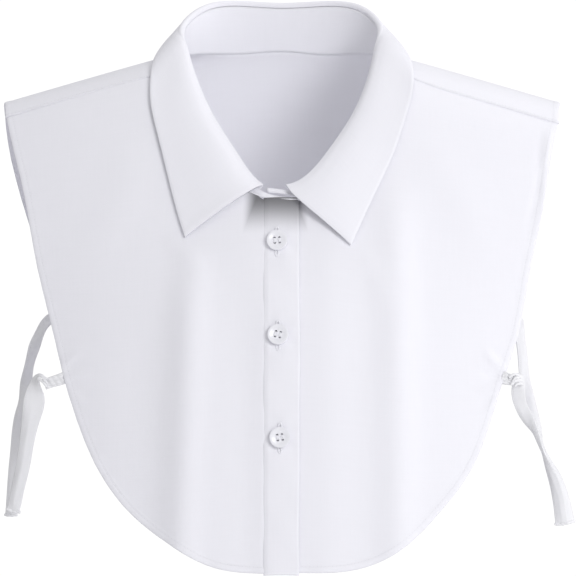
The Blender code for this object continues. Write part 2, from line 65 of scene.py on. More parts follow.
bpy.ops.object.select_all(action="DESELECT")
MM = 0.001
print("solids:", sorted(frame["nodes"]))

# %% [markdown]
# ## Camera
# The collar is seen straight from the front and from far off, which keeps its outline nearly
# free of perspective. A long lens at four metres does that. The camera is made first, because
# the ties are judged against its view.

# %% Camera
CAMERA_TARGET = Vector((0.0037, 0.0, -0.1476))
CAMERA_DISTANCE = 4.0
CAMERA_SENSOR = 36.0
CAMERA_LENS = 398.7

camera_data = bpy.data.cameras.new("camera")
camera_data.sensor_width = CAMERA_SENSOR
camera_data.lens = CAMERA_LENS
camera = bpy.data.objects.new("camera", camera_data)
camera.location = CAMERA_TARGET - Vector((0.0, CAMERA_DISTANCE, 0.0))
camera.rotation_euler = (math.radians(90.0), 0.0, 0.0)
bpy.context.scene.collection.objects.link(camera)
bpy.context.scene.camera = camera
print("camera at", tuple(round(v, 3) for v in camera.location))

# %% [markdown]
# ## Curves and grids
# Everything soft here is a grid of points: rows one way, columns the other. A natural cubic
# spline runs smoothly through a short table, so a few named rows are enough to draw an edge, a
# fold line or the run of a tie. Modelling by hand with a subdivided plane would give the same
# sheets, but a grid also knows how far along and across the cloth each point is, and the weave
# and the stitches need that.

# %% Splines
def spline(knots, values):
    """A smooth curve through the values at the knots (a natural cubic), as a function."""
    knots = np.asarray(knots, float)
    values = np.asarray(values, float)
    count = len(knots)
    step = np.diff(knots)
    slope = np.diff(values, axis=0) / step[:, None]
    matrix = np.eye(count)
    right = np.zeros(values.shape)
    for i in range(1, count - 1):
        matrix[i, i - 1 : i + 2] = step[i - 1], 2 * (step[i - 1] + step[i]), step[i]
        right[i] = 6 * (slope[i] - slope[i - 1])
    bend = np.linalg.solve(matrix, right)

    def at(where):
        where = np.clip(np.asarray(where, float), knots[0], knots[-1])
        i = np.clip(np.searchsorted(knots, where, side="right") - 1, 0, count - 2)
        h = step[i][..., None]
        a = ((knots[i + 1] - where) / step[i])[..., None]
        b = 1 - a
        curved = (a**3 - a) * bend[i] + (b**3 - b) * bend[i + 1]
        return a * values[i] + b * values[i + 1] + curved * h * h / 6

    return at


def lengths_along(points):
    """Distance from the first point to each point."""
    points = np.asarray(points, float)
    return np.concatenate([[0.0], np.cumsum(np.linalg.norm(np.diff(points, axis=0), axis=1))])


def path_through(points):
    """A smooth path through points, as a function of the share of its length."""
    knots = lengths_along(points)
    return spline(knots / knots[-1], points)


def smooth_step(value):
    value = np.clip(value, 0.0, 1.0)
    return value * value * (3.0 - 2.0 * value)


def even(steps):
    return np.linspace(0.0, 1.0, steps + 1)


def unit(vectors):
    return vectors / np.linalg.norm(vectors, axis=-1, keepdims=True)


print("a spline through 0, 1, 0 is", round(float(spline([0, 1, 2], [[0.0], [1.0], [0.0]])(0.5)[0]), 3), "at a half")

# %% Sheets of cloth from grids
def cloth(name, points, wall, maps):
    """A sheet through a grid of points in millimetres. maps are its UV maps, in metres, as
    name: grid of pairs. Solidify gives it its wall."""
    rows, columns = points.shape[:2]
    index = np.arange(rows * columns).reshape(rows, columns)
    faces = np.stack([index[:-1, :-1], index[1:, :-1], index[1:, 1:], index[:-1, 1:]], axis=-1)
    mesh = bpy.data.meshes.new(name)
    mesh.from_pydata((points.reshape(-1, 3) * MM).tolist(), [], faces.reshape(-1, 4).tolist())
    for map_name, pairs in maps.items():
        layer = mesh.uv_layers.new(name=map_name)
        flat = np.asarray(pairs, float).reshape(-1, 2)[faces.reshape(-1)]
        layer.data.foreach_set("uv", flat.astype(np.float32).ravel())
    mesh.shade_smooth()
    made = bpy.data.objects.new(name, mesh)
    bpy.context.scene.collection.objects.link(made)
    solid = made.modifiers.new("wall", "SOLIDIFY")
    solid.thickness = wall * MM
    solid.offset = 0.0
    solid.use_even_offset = False
    return made


def grid_area(points):
    """Area of a grid in square metres."""
    across = points[:-1, 1:] - points[:-1, :-1]
    down = points[1:, :-1] - points[:-1, :-1]
    return float(np.linalg.norm(np.cross(across, down), axis=-1).sum()) * MM * MM


def tube(points, radius, sides=10, flat=1.0, up=None):
    """Rings round a line of points in millimetres, as vertices and faces, with closed ends."""
    points = np.asarray(points, float)
    run = unit(np.gradient(points, axis=0))
    up = np.array([0.0, -1.0, 0.0]) if up is None else np.asarray(up, float)
    side = unit(np.cross(run, up))
    lift = np.cross(side, run)
    radius = np.broadcast_to(np.asarray(radius, float), (len(points),))
    turns = 2 * np.pi * np.arange(sides) / sides
    rings = (
        points[:, None]
        + side[:, None] * (np.cos(turns)[None, :, None] * radius[:, None, None])
        + lift[:, None] * (np.sin(turns)[None, :, None] * radius[:, None, None] * flat)
    )
    count = len(points)
    faces = [
        (r * sides + i, r * sides + (i + 1) % sides, (r + 1) * sides + (i + 1) % sides, (r + 1) * sides + i)
        for r in range(count - 1)
        for i in range(sides)
    ]
    faces.append(tuple(range(sides))[::-1])
    faces.append(tuple((count - 1) * sides + i for i in range(sides)))
    return rings.reshape(-1, 3), faces


def joined_tubes(name, tubes):
    """Several tubes as one named mesh, with their faces turned outwards."""
    points = []
    faces = []
    for ring_points, ring_faces in tubes:
        start = sum(len(p) for p in points)
        points.append(ring_points)
        faces += [tuple(i + start for i in face) for face in ring_faces]
    mesh = bpy.data.meshes.new(name)
    mesh.from_pydata((np.vstack(points) * MM).tolist(), [], faces)
    shape = bmesh.new()
    shape.from_mesh(mesh)
    bmesh.ops.recalc_face_normals(shape, faces=shape.faces)
    shape.to_mesh(mesh)
    shape.free()
    mesh.shade_smooth()
    made = bpy.data.objects.new(name, mesh)
    bpy.context.scene.collection.objects.link(made)
    return made


print("sheets, tubes and areas are ready")

# %% [markdown]
# ## Ties
# Two tapes hang at each side: one from the back's edge, and one from a short tab on the front.
# They are limp, so they hang down and turn as tape does. Each is a narrow sheet along its middle
# line. The table gives the line, the width and how far the tape's face is turned. The front
# tape on the wearer's right is a doubled tape that has opened into a shallow V, so the section
# has a crease along it. Each tape ends in a small turned hem.

# %% The ties' lines
# Columns: x, y, z, width, turn in degrees.
TIES = {
    "tie_front_right": (
        (-146.0, -61.6, -206.0, 6.6, 80.0),
        (-147.0, -60.8, -203.0, 6.4, 80.0),
        (-150.0, -59.6, -202.0, 6.6, 72.0),
        (-152.3, -58.0, -205.8, 8.0, 45.0),
        (-153.1, -55.0, -214.8, 12.6, 6.0),
        (-155.8, -48.0, -229.3, 11.2, 0.0),
        (-158.7, -38.0, -243.9, 9.0, 0.0),
        (-161.5, -28.0, -258.4, 8.6, 4.0),
        (-165.0, -19.0, -273.0, 8.0, 8.0),
        (-168.0, -12.0, -286.7, 7.8, 8.0),
    ),
    "tie_back_right": (
        (-140.7, 56.8, -165.0, 7.0, 10.0),
        (-145.4, 56.4, -166.2, 7.0, 16.0),
        (-149.5, 55.4, -168.9, 7.0, 28.0),
        (-154.8, 53.4, -177.7, 7.0, 30.0),
        (-158.9, 49.0, -190.4, 7.0, -30.0),
        (-161.5, 43.0, -203.2, 7.0, -20.0),
        (-163.9, 36.0, -216.3, 7.0, 44.0),
        (-166.0, 28.0, -230.9, 7.0, 10.0),
        (-167.7, 20.0, -245.2, 7.0, 24.0),
        (-168.6, 12.5, -259.5, 7.0, 20.0),
        (-169.4, 6.0, -273.8, 7.0, 20.0),
        (-170.1, 0.5, -289.6, 7.0, 12.0),
    ),
    "tie_front_left": (
        (143.4, -62.6, -206.4, 6.4, -80.0),
        (143.7, -62.0, -202.8, 6.4, -80.0),
        (145.6, -61.0, -202.2, 6.6, -66.0),
        (146.3, -59.0, -206.8, 8.0, -20.0),
        (146.9, -54.0, -217.2, 8.0, 0.0),
        (151.4, -46.0, -227.2, 7.6, 20.0),
        (156.4, -36.0, -236.7, 7.2, 58.0),
        (161.4, -25.5, -248.1, 7.0, 84.0),
        (166.1, -18.0, -259.7, 7.0, 58.0),
        (170.0, -13.0, -270.0, 7.2, 38.0),
        (172.9, -10.0, -281.2, 7.4, 22.0),
        (174.8, -8.0, -294.9, 7.6, 12.0),
    ),
    "tie_back_left": (
        (141.6, 56.8, -165.0, 7.0, -4.0),
        (146.4, 56.4, -165.6, 7.0, -8.0),
        (149.4, 55.6, -167.6, 7.0, -14.0),
        (150.7, 54.0, -173.0, 7.0, -26.0),
        (152.5, 50.2, -188.9, 7.0, -32.0),
        (153.8, 45.0, -204.9, 7.0, -24.0),
        (156.0, 38.0, -215.3, 7.0, -20.0),
        (158.9, 29.0, -227.4, 7.0, -30.0),
        (162.0, 19.0, -238.4, 7.0, -62.0),
        (165.3, 10.0, -250.0, 7.0, -84.0),
        (170.5, 4.0, -260.4, 7.0, -60.0),
        (175.0, 1.0, -270.4, 7.0, -50.0),
        (178.0, -0.5, -281.5, 7.0, -40.0),
        (180.4, -1.0, -294.0, 7.0, -34.0),
    ),
}
# How each tape is creased: where its crease lies (share of the half width), how deep it is at
# its deepest, where along the tape that starts, and how much the edges curl.
TIE_SECTIONS = {
    "tie_front_right": (-0.15, 1.5, 0.22, 0.25),
    "tie_back_right": (0.0, 0.35, 0.0, 0.30),
    "tie_front_left": (0.2, 1.0, 0.35, 0.30),
    "tie_back_left": (0.1, 0.5, 0.3, 0.25),
}
TABS = {
    "tab_front_right": (
        (-133.4, -64.6, -202.6, 7.4, 0.0),
        (-140.0, -63.6, -205.0, 6.6, 4.0),
        (-146.4, -62.4, -207.0, 6.4, 10.0),
    ),
    "tab_front_left": (
        (135.6, -64.4, -202.6, 8.2, 0.0),
        (139.6, -63.5, -203.9, 6.6, -4.0),
        (144.0, -62.6, -204.8, 5.6, -10.0),
    ),
}
TAPE_WALL = 0.8
TAPE_ROWS = 150
TAPE_COLUMNS = 14


def tape_frames(rows, steps):
    """Middle points, sideways and outward directions, and widths along a tape."""
    rows = np.array(rows)
    knots = lengths_along(rows[:, :3])
    table = spline(knots / knots[-1], rows)(even(steps))
    middle = table[:, :3]
    run = unit(np.gradient(middle, axis=0))
    flat = unit(np.cross(run, np.array([0.0, 1.0, 0.0])))
    turn = np.radians(table[:, 4:5])
    side = flat * np.cos(turn) + np.cross(run, flat) * np.sin(turn)
    return middle, side, np.cross(side, run), table[:, 3]


def tape(name, rows, section):
    """A tape with a lengthwise crease and slightly curled edges, and a turned end."""
    crease_at, crease_depth, crease_from, curl = section
    middle, side, out, width = tape_frames(rows, TAPE_ROWS)
    share = even(TAPE_ROWS)[:, None]
    s = np.linspace(-1.0, 1.0, TAPE_COLUMNS + 1)[None, :]
    fade = smooth_step((share - crease_from) / 0.15) * smooth_step((1.0 - share) / 0.06)
    span = np.where(s > crease_at, 1.0 - crease_at, 1.0 + crease_at)
    depth = crease_depth * fade * (np.abs(s - crease_at) / span - 0.5)
    depth = depth + curl * (s**4 - 0.2) + 0.22 * np.sin(share * 23.0 + 2.0 * s) * (1 - s * s)
    points = middle[:, None] + side[:, None] * (s * width[:, None] / 2)[..., None] + out[:, None] * depth[..., None]
    along = np.broadcast_to(lengths_along(middle)[:, None], depth.shape)
    across = np.broadcast_to(s * width[:, None] / 2, depth.shape)
    edge_map = np.stack([along, across + width[:, None] / 2], -1)
    made = cloth(name, points, TAPE_WALL, {"cloth": np.stack([across, along], -1) * MM, "edge": edge_map * MM})
    return made, middle


def turned_end(name, rows):
    """The small rolled hem across a tape's end."""
    middle, side, out, width = tape_frames(rows, TAPE_ROWS)
    s = np.linspace(-1.0, 1.0, 25)[:, None]
    sag = (1 - s**2) * 0.5
    half = width[-1] / 2 + 0.7
    line = middle[-1] + side[-1] * s * half + out[-1] * (0.2 + 0.25 * s) - np.array([0.0, 0.0, 1.0]) * sag
    radius = 0.95 + 0.12 * np.sin(s[:, 0] * 9.0)
    radius[[0, -1]] *= 0.75
    return joined_tubes(name, [tube(line, radius, 12)])


tie_objects = {}
tie_lines = {}
tab_objects = {}
for name, rows in TIES.items():
    tie_objects[name], tie_lines[name] = tape(name + "_tape", rows, TIE_SECTIONS[name])
    end = turned_end(name + "_end", rows)
    end.parent = tie_objects[name]
    print(name, "is", round(lengths_along(tie_lines[name])[-1]), "mm long")

# %% [markdown]
# The tabs are the short sewn ends that the front tapes loop over. Each is gathered, so its
# surface ripples across. The left one is bunched harder, where its tape is pulled through. A
# few small folds of cloth round the loop finish it.

# %% Tabs and gathers
TAB_ROWS = 40
TAB_COLUMNS = 12
# Columns: ripple height, ripples along, ripples across.
TAB_RIPPLES = {"tab_front_right": (0.28, 4.0, 1.2), "tab_front_left": (0.42, 2.5, 2.2)}


def gathered_tab(name, rows):
    height, along_count, across_count = TAB_RIPPLES[name]
    middle, side, out, width = tape_frames(rows, TAB_ROWS)
    share = even(TAB_ROWS)[:, None]
    s = np.linspace(-1.0, 1.0, TAB_COLUMNS + 1)[None, :]
    wave = np.sin(2 * np.pi * along_count * share + 1.6 * s) * 0.6 + np.cos(2 * np.pi * across_count * s + 4 * share)
    depth = height * wave
    points = middle[:, None] + side[:, None] * (s * width[:, None] / 2)[..., None] + out[:, None] * depth[..., None]
    along = np.broadcast_to(lengths_along(middle)[:, None], depth.shape)
    across = np.broadcast_to(s * width[:, None] / 2, depth.shape)
    return cloth(name + "_cloth", points, 0.9, {"cloth": np.stack([across, along], -1) * MM})


# Small folds that wrap the loop: start, middle and end of each, and its radius.
LOOP_FOLDS = {
    "loop_folds_right": (
        ((-145.2, -64.2, -208.6), (-147.8, -63.4, -205.2), (-151.4, -61.6, -203.4), 0.95),
        ((-144.6, -64.4, -204.0), (-147.0, -63.6, -202.4), (-150.2, -62.0, -201.8), 0.75),
        ((-144.8, -64.2, -206.6), (-146.0, -64.0, -204.6), (-147.0, -63.2, -202.8), 0.65),
    ),
    "loop_folds_left": (
        ((141.0, -65.0, -207.6), (144.4, -64.6, -204.8), (148.6, -62.6, -205.0), 1.15),
        ((140.0, -65.0, -203.0), (143.6, -64.6, -200.8), (147.4, -62.8, -203.2), 0.95),
        ((142.0, -65.2, -205.6), (144.6, -65.0, -202.8), (146.6, -63.6, -206.6), 0.85),
        ((143.6, -64.6, -208.2), (146.0, -63.8, -206.6), (149.0, -61.4, -207.4), 0.80),
    ),
}
for name, rows in TABS.items():
    tab_objects[name] = gathered_tab(name, rows)
loop_objects = {}
for name, folds in LOOP_FOLDS.items():
    tubes = []
    for start, middle, end, radius in folds:
        line = path_through([start, middle, end])(even(18))
        swell = radius * (0.55 + 0.45 * np.sin(np.pi * even(18)) ** 0.5)
        tubes.append(tube(line, swell, 12, flat=0.7))
    loop_objects[name] = joined_tubes(name, tubes)
print("tabs:", ", ".join(sorted(tab_objects)))

# %% [markdown]
# ## The figure under the cloth
# With no wearer in sight, the cloth still has a body's form. One profile from the back hem over
# the shoulder to the front hem is given at the middle and at the end of the shoulder, and the
# rows between are blended. A place on the cloth is then two numbers: how far across it is, and
# how far along that profile from the shoulder's ridge. Soft folds are added to the form's depth.

# %% The form
SHOULDER_HALF = 174.0
RIDGE_TOP, RIDGE_SLOPE, RIDGE_ROUNDING = 20.6, 0.296, 30.0
# Columns: middle_y, middle_drop, end_y, end_drop.
FORM = {
    "back hem": (79.0, 335.0, 45.0, 300.0),
    "back waist": (81.0, 265.0, 45.5, 235.0),
    "low shoulder blade": (82.0, 200.0, 44.5, 175.0),
    "shoulder blade": (79.5, 145.0, 42.0, 125.0),
    "upper back": (74.0, 95.0, 37.0, 80.0),
    "yoke": (67.0, 52.0, 30.5, 42.0),
    "back neck": (59.0, 21.0, 24.0, 18.0),
    "back of shoulder": (49.0, 6.0, 16.0, 6.0),
    "top, behind": (26.0, 1.0, 8.0, 1.2),
    "ridge": (0.0, 0.0, 0.0, 0.0),
    "top, in front": (-18.0, 2.0, -8.0, 1.2),
    "front of shoulder": (-35.0, 10.0, -16.0, 6.0),
    "collar bone": (-48.0, 28.0, -24.0, 18.0),
    "upper chest": (-59.0, 62.0, -31.0, 42.0),
    "front neck": (-69.0, 105.0, -37.5, 80.0),
    "chest": (-82.0, 152.0, -42.0, 120.0),
    "full chest": (-93.0, 202.0, -45.0, 165.0),
    "below chest": (-98.0, 250.0, -47.0, 210.0),
    "waist": (-99.0, 300.0, -48.0, 255.0),
    "front hem": (-98.5, 345.0, -48.0, 300.0),
}
# The soft folds that hang from the chest and the shoulder blades. Columns: face, top_x, top_z,
# bottom_x, bottom_z, stands_out, half_width, fade.
FOLDS = {
    "right ridge": ("front", -54.0, -105.0, -63.0, -322.0, 4.6, 12.0, 60.0),
    "right trough": ("front", -84.0, -130.0, -88.0, -322.0, -1.6, 20.0, 80.0),
    "beside placket": ("front", -24.0, -130.0, -22.0, -322.0, -1.6, 12.0, 60.0),
    "left ridge": ("front", 71.0, -70.0, 71.0, -322.0, 3.4, 12.0, 50.0),
    "left trough": ("front", 51.0, -120.0, 50.0, -322.0, -1.2, 16.0, 70.0),
    "back right ridge": ("back", -58.0, -90.0, -66.0, -305.0, 3.6, 16.0, 70.0),
    "back middle ridge": ("back", 8.0, -120.0, 12.0, -305.0, 2.4, 20.0, 80.0),
    "back left ridge": ("back", 64.0, -100.0, 74.0, -305.0, 3.2, 15.0, 70.0),
}
# Smaller creases, each from one place to another. Columns: face, from_x, from_z, to_x, to_z,
# stands_out, half_width.
CREASES = {
    "right tab, upper": ("front", -138.0, -199.0, -122.0, -186.0, 0.8, 2.6),
    "right tab, middle": ("front", -137.0, -204.0, -116.0, -203.0, 0.7, 2.8),
    "right tab, lower": ("front", -135.0, -209.0, -121.0, -220.0, 0.5, 2.4),
    "left tab, upper": ("front", 137.0, -198.0, 124.0, -184.0, 1.0, 2.4),
    "left tab, pinch": ("front", 138.0, -202.0, 121.0, -199.0, -0.9, 2.0),
    "left tab, middle": ("front", 137.0, -206.0, 119.0, -210.0, 1.0, 2.4),
    "left tab, lower": ("front", 133.0, -213.0, 122.0, -226.0, 0.7, 2.4),
    "left armhole, top": ("front", 166.0, -50.0, 159.0, -78.0, 1.0, 2.6),
    "left armhole, long": ("front", 160.0, -62.0, 151.0, -112.0, -0.8, 2.4),
    "left armhole, outer": ("front", 163.0, -82.0, 157.0, -118.0, 0.6, 2.2),
    "below right collar": ("front", -66.0, -118.0, -46.0, -150.0, 0.9, 7.0),
    "below left collar": ("front", 52.0, -128.0, 62.0, -166.0, 0.8, 7.0),
    "left chest drag": ("front", 88.0, -60.0, 128.0, -132.0, 0.9, 13.0),
    "right chest drag": ("front", -92.0, -66.0, -128.0, -140.0, 0.8, 14.0),
    "back neck, right": ("back", -34.0, -44.0, -58.0, -96.0, 1.0, 10.0),
    "back neck, left": ("back", 36.0, -44.0, 56.0, -92.0, 0.9, 10.0),
    "back right armhole": ("back", -150.0, -92.0, -118.0, -122.0, 1.0, 8.0),
    "back left armhole": ("back", 148.0, -96.0, 116.0, -128.0, 1.0, 8.0),
    "back right tie": ("back", -140.0, -165.0, -116.0, -158.0, 0.9, 3.0),
    "back left tie": ("back", 141.0, -165.0, 117.0, -160.0, 0.9, 3.0),
    "back waist": ("back", -30.0, -190.0, 26.0, -214.0, 0.7, 12.0),
}

# Below the throat the cloth is drawn back under the closed collar, which throws a shadow there.
THROAT_HOLLOW, THROAT_LEVEL = 2.5, -97.0

FORM_ROWS = np.array(list(FORM.values()))
FORM_KNOTS = lengths_along(FORM_ROWS[:, :2])
FORM_KNOTS -= FORM_KNOTS[list(FORM).index("ridge")]
FORM_CURVE = spline(FORM_KNOTS, FORM_ROWS)


def ridge_height(x):
    return RIDGE_TOP - RIDGE_SLOPE * np.sqrt(np.square(x) + RIDGE_ROUNDING**2)


def fold_height(x, z, face):
    """How far the soft folds and creases of one face stand out at a place."""
    total = np.zeros(np.shape(x))
    for on, top_x, top_z, bottom_x, bottom_z, stands_out, half_width, fade in FOLDS.values():
        if on == face:
            line = top_x + (bottom_x - top_x) * (top_z - z) / (top_z - bottom_z)
            bump = np.exp(-(((x - line) / half_width) ** 2)) * smooth_step((top_z - z) / fade)
            total = total + stands_out * bump
    for on, from_x, from_z, to_x, to_z, stands_out, half_width in CREASES.values():
        if on == face:
            run_x, run_z = to_x - from_x, to_z - from_z
            length = math.hypot(run_x, run_z)
            t = ((x - from_x) * run_x + (z - from_z) * run_z) / length**2
            away = ((x - from_x) * run_z - (z - from_z) * run_x) / length + 0.06 * length * np.sin(np.pi * t)
            fade_in = smooth_step((t + 0.25) / 0.4) * smooth_step((1.15 - t) / 0.7)
            total = total + stands_out * np.exp(-((away / half_width) ** 2)) * fade_in
    if face == "front":
        spread = np.where(z > THROAT_LEVEL, 14.0, 9.0)
        total = total - THROAT_HOLLOW * np.exp(-((x / 25.0) ** 2) - ((z - THROAT_LEVEL) / spread) ** 2)
    return total


def form_point(x, along):
    """The figure's surface at a distance across and a distance along it from the ridge."""
    x, along = np.broadcast_arrays(np.asarray(x, float), np.asarray(along, float))
    middle_y, middle_drop, end_y, end_drop = np.moveaxis(FORM_CURVE(along), -1, 0)
    side = np.clip(np.abs(x) / SHOULDER_HALF, 0.0, 1.1) ** 2
    y = middle_y * (1 - side) + end_y * side
    z = ridge_height(x) - middle_drop * (1 - side) - end_drop * side
    y = y - np.where(along > 0, fold_height(x, z, "front"), -fold_height(x, z, "back"))
    return np.stack([x, y, z], axis=-1)


def form_normal(x, along):
    """Straight out of the figure."""
    small = 0.5
    across = form_point(np.add(x, small), along) - form_point(np.subtract(x, small), along)
    down = form_point(x, np.add(along, small)) - form_point(x, np.subtract(along, small))
    return unit(np.cross(down, across))


def lifted(x, along, lift):
    """A point of the form moved straight out."""
    return form_point(x, along) + form_normal(x, along) * np.asarray(lift, float)[..., None]


def along_at_level(x, level, face):
    """The distance along the form at which a place across is at a level."""
    steps = np.linspace(0.0, FORM_KNOTS[-1] if face == "front" else FORM_KNOTS[0], 500)
    heights = form_point(np.full(len(steps), x), steps)[:, 2]
    return float(np.interp(-level, -heights, steps))


print("the form runs", round(float(FORM_KNOTS[-1] - FORM_KNOTS[0])), "mm from hem to hem")

# %% [markdown]
# ## The collar's lines
# A shirt collar has two parts. The stand is a band that rises from the neck line, and the leaf
# is sewn to its top, rolls over and falls to its edge on the shoulders. Both are drawn from the
# same table: the neck line, the fold line and the leaf's edge, from the wearer's right front end
# round the back to the left front end. The stand goes on past the leaf, and its right end laps
# over the left one.

# %% The collar's table
# Columns: neck_x, neck_along, fold_x, fold_y, fold_z, edge_x, edge_along, edge_lift.
COLLAR = {
    "right front end": (-17.0, 134.0, -12.3, -61.0, -85.5, -59.5, 155.6, 3.6),
    "right of throat": (-37.0, 111.8, -29.0, -54.0, -65.0, -66.3, 130.0, 4.6),
    "right neck, low": (-51.5, 85.6, -43.0, -46.0, -43.0, -72.5, 103.0, 5.0),
    "right neck": (-63.0, 53.6, -54.6, -32.0, -18.0, -78.7, 75.0, 4.6),
    "right side": (-67.5, 15.0, -61.3, -3.0, 9.0, -81.0, 40.0, 3.4),
    "right shoulder": (-63.0, -22.0, -59.0, 19.0, 21.0, -76.0, -4.0, 2.6),
    "right behind": (-44.0, -44.5, -46.5, 35.5, 31.2, -62.0, -40.0, 3.2),
    "back": (0.0, -53.8, 0.0, 47.0, 32.6, 0.0, -63.0, 3.4),
    "left behind": (44.0, -44.5, 47.5, 35.5, 31.0, 62.0, -40.0, 3.2),
    "left shoulder": (63.0, -22.0, 58.4, 19.0, 21.0, 75.0, -4.0, 2.6),
    "left side": (67.5, 15.0, 59.4, -3.0, 7.4, 80.6, 36.0, 5.2),
    "left neck": (63.0, 53.6, 55.0, -31.0, -17.0, 77.5, 68.0, 5.0),
    "left neck, low": (53.0, 83.0, 45.5, -44.0, -40.0, 69.0, 98.0, 5.4),
    "left of throat": (39.0, 109.0, 31.0, -54.0, -61.5, 56.0, 130.0, 5.2),
    "left front end": (6.0, 135.2, 3.0, -62.0, -84.8, 42.2, 163.5, 4.0),
}
# Columns: neck_x, neck_along, fold_x, fold_y, fold_z.
STAND_RIGHT_END = {
    "overlap tip": (10.4, 138.0, 10.0, -66.2, -90.8),
    "overlap": (-2.0, 138.4, -1.0, -64.8, -90.0),
}
STAND_LEFT_END = {
    "under": (-2.0, 134.0, -3.0, -60.6, -84.8),
    "under tip": (-9.0, 133.2, -10.0, -59.6, -84.2),
}
STAND_OVER_LIFT, STAND_UNDER_LIFT = 0.7, -1.0
PLACKET_LEFT, PLACKET_RIGHT = -11.2, 10.5
UNDERLAP_EDGE, UNDERLAP_DEPTH, UNDERLAP_START = -9.0, 1.5, 32.0

COLLAR_ROWS = np.array(list(COLLAR.values()))
RIGHT_END = np.array(list(STAND_RIGHT_END.values()))
LEFT_END = np.array(list(STAND_LEFT_END.values()))
STAND_FLAT = np.vstack([RIGHT_END[:, :2], COLLAR_ROWS[:, :2], LEFT_END[:, :2]])
STAND_EXTRA = np.zeros(len(STAND_FLAT))
STAND_EXTRA[: len(RIGHT_END)] = STAND_OVER_LIFT
STAND_EXTRA[-len(LEFT_END) :] = STAND_UNDER_LIFT
FOLD_ROWS = np.vstack([RIGHT_END[:, 2:], COLLAR_ROWS[:, 2:5], LEFT_END[:, 2:]])
COLLAR_KNOTS = lengths_along(FOLD_ROWS) / lengths_along(FOLD_ROWS)[-1]
LEAF_KNOTS = COLLAR_KNOTS[len(RIGHT_END) : -len(LEFT_END)]
NECK_LINE = spline(COLLAR_KNOTS, np.column_stack([STAND_FLAT, STAND_EXTRA]))
FOLD_LINE = spline(COLLAR_KNOTS, FOLD_ROWS)
LEAF_EDGE = spline(LEAF_KNOTS, COLLAR_ROWS[:, 5:])
print("the fold line is", round(float(lengths_along(FOLD_ROWS)[-1])), "mm long")


# %% Neck line helpers
def underlap(x):
    """The wearer's left front dips under the placket near the middle."""
    return -UNDERLAP_DEPTH * smooth_step((UNDERLAP_START - x) / (UNDERLAP_START - PLACKET_RIGHT))


def neck_points(share):
    """The neck line in space, where the stand's lower edge lies."""
    x, along, extra = np.moveaxis(NECK_LINE(share), -1, 0)
    under = (share > 0.5) & (along > 0.0)
    return lifted(x, along, extra + np.where(under, underlap(x), 0.0))


FIRST_END = {"right": 0, "left": -1}
SIGN = {"right": -1.0, "left": 1.0}
SHOULDER_SEAM_NECK = 40.0  # where the shoulder seam leaves the neck line, along the form


def neck_share(side):
    """Where on the neck line the shoulder seam of a side meets it, as a share of its length."""
    shares = np.linspace(LEAF_KNOTS[FIRST_END[side]], 0.5, 1001)
    return float(shares[np.argmin(np.abs(NECK_LINE(shares)[:, 1] - SHOULDER_SEAM_NECK))])


print("shoulder seams leave the neck at", [round(neck_share(side), 3) for side in SIGN])

# %% [markdown]
# ## Fronts and back
# Each panel's rows run from the neck line out to the armhole and the rounded hem, so the last
# rows lie along the turned hem. They are placed closer there, which lets the hem's small step
# and its roll show. The shoulder seams are lapped: the back's edge lies over the front's, as on
# a shirt with a forward seam. The same rows give two UV maps in metres: "cloth", along the
# threads, and "edge", along and away from the hem, for its stitches.

# %% Panel tables
# Columns: level, right_x, left_x.
EDGE_COLUMNS = ("level", "right_x", "left_x")
FRONT_EDGE = {
    "upper armhole": (-62.0, -167.0, 168.0),
    "armhole": (-93.0, -159.5, 163.0),
    "armhole, low": (-136.0, -151.2, 153.8),
    "side": (-183.0, -139.4, 144.0),
    "tie": (-203.0, -134.5, 137.0),
    "below tie": (-223.0, -128.3, 130.6),
    "low side": (-262.0, -111.5, 114.8),
    "hem, low": (-287.0, -92.0, 95.4),
    "hem, round": (-305.0, -68.5, 77.0),
    "hem, flat": (-318.4, -43.0, 52.0),
    "hem": (-322.0, -21.0, 22.0),
}
BACK_EDGE = {
    "upper armhole": (-62.0, -172.0, 168.5),
    "armhole": (-93.0, -164.5, 160.5),
    "tie": (-165.0, -140.0, 141.0),
    "low side": (-240.0, -107.0, 109.0),
    "hem, low": (-272.0, -79.0, 81.0),
    "hem, round": (-291.0, -47.0, 49.0),
}
FRONT_HEM, BACK_HEM, PLACKET_HEM = -322.6, -299.0, -323.2
SHOULDER_SEAM_DROP = {"right": 10.0, "left": 14.0}
SHOULDER_SEAM_END, SHOULDER_SEAM_BLEND = 1.6, 0.35
SEAM_LAP = {"front": 3.2, "back": -0.6}  # how far each panel goes past the seam line
MIDDLE_EDGE = {"right": -6.0, "left": UNDERLAP_EDGE}  # the right front runs on under the placket
MIDDLE_NECK = {"right": ((-11.8, 138.4),), "left": ((-9.0, 139.2), (12.0, 138.6))}
MIDDLE_NECK_END = {"right": 12.0, "left": 22.0}
NECK_TUCK = 0.4  # how far the panels reach under the stand
HEM_WIDTH = 4.6
HEM_SPOTS = (0.0, 0.5, 1.6, 2.8, 3.8, 4.4, 5.0, 6.0, 8.0)  # rows at these distances from the hem
PANEL_ROWS = 70
FRONT_STEPS, BACK_STEPS = 190, 300
BODY_WALL = 0.55


def edge_points(table, side, face):
    """A side's outer edge from the shoulder to the hem, as points (across, along)."""
    column = EDGE_COLUMNS.index(side + "_x")
    return [(row[column], along_at_level(row[column], row[0], face)) for row in table.values()]


def panel_rows(length):
    """Shares for a panel's rows, closer together at the hem."""
    close = 1.0 - np.array(HEM_SPOTS)[::-1] / length
    return np.concatenate([np.linspace(0.0, close[0], PANEL_ROWS + 1)[:-1], close])


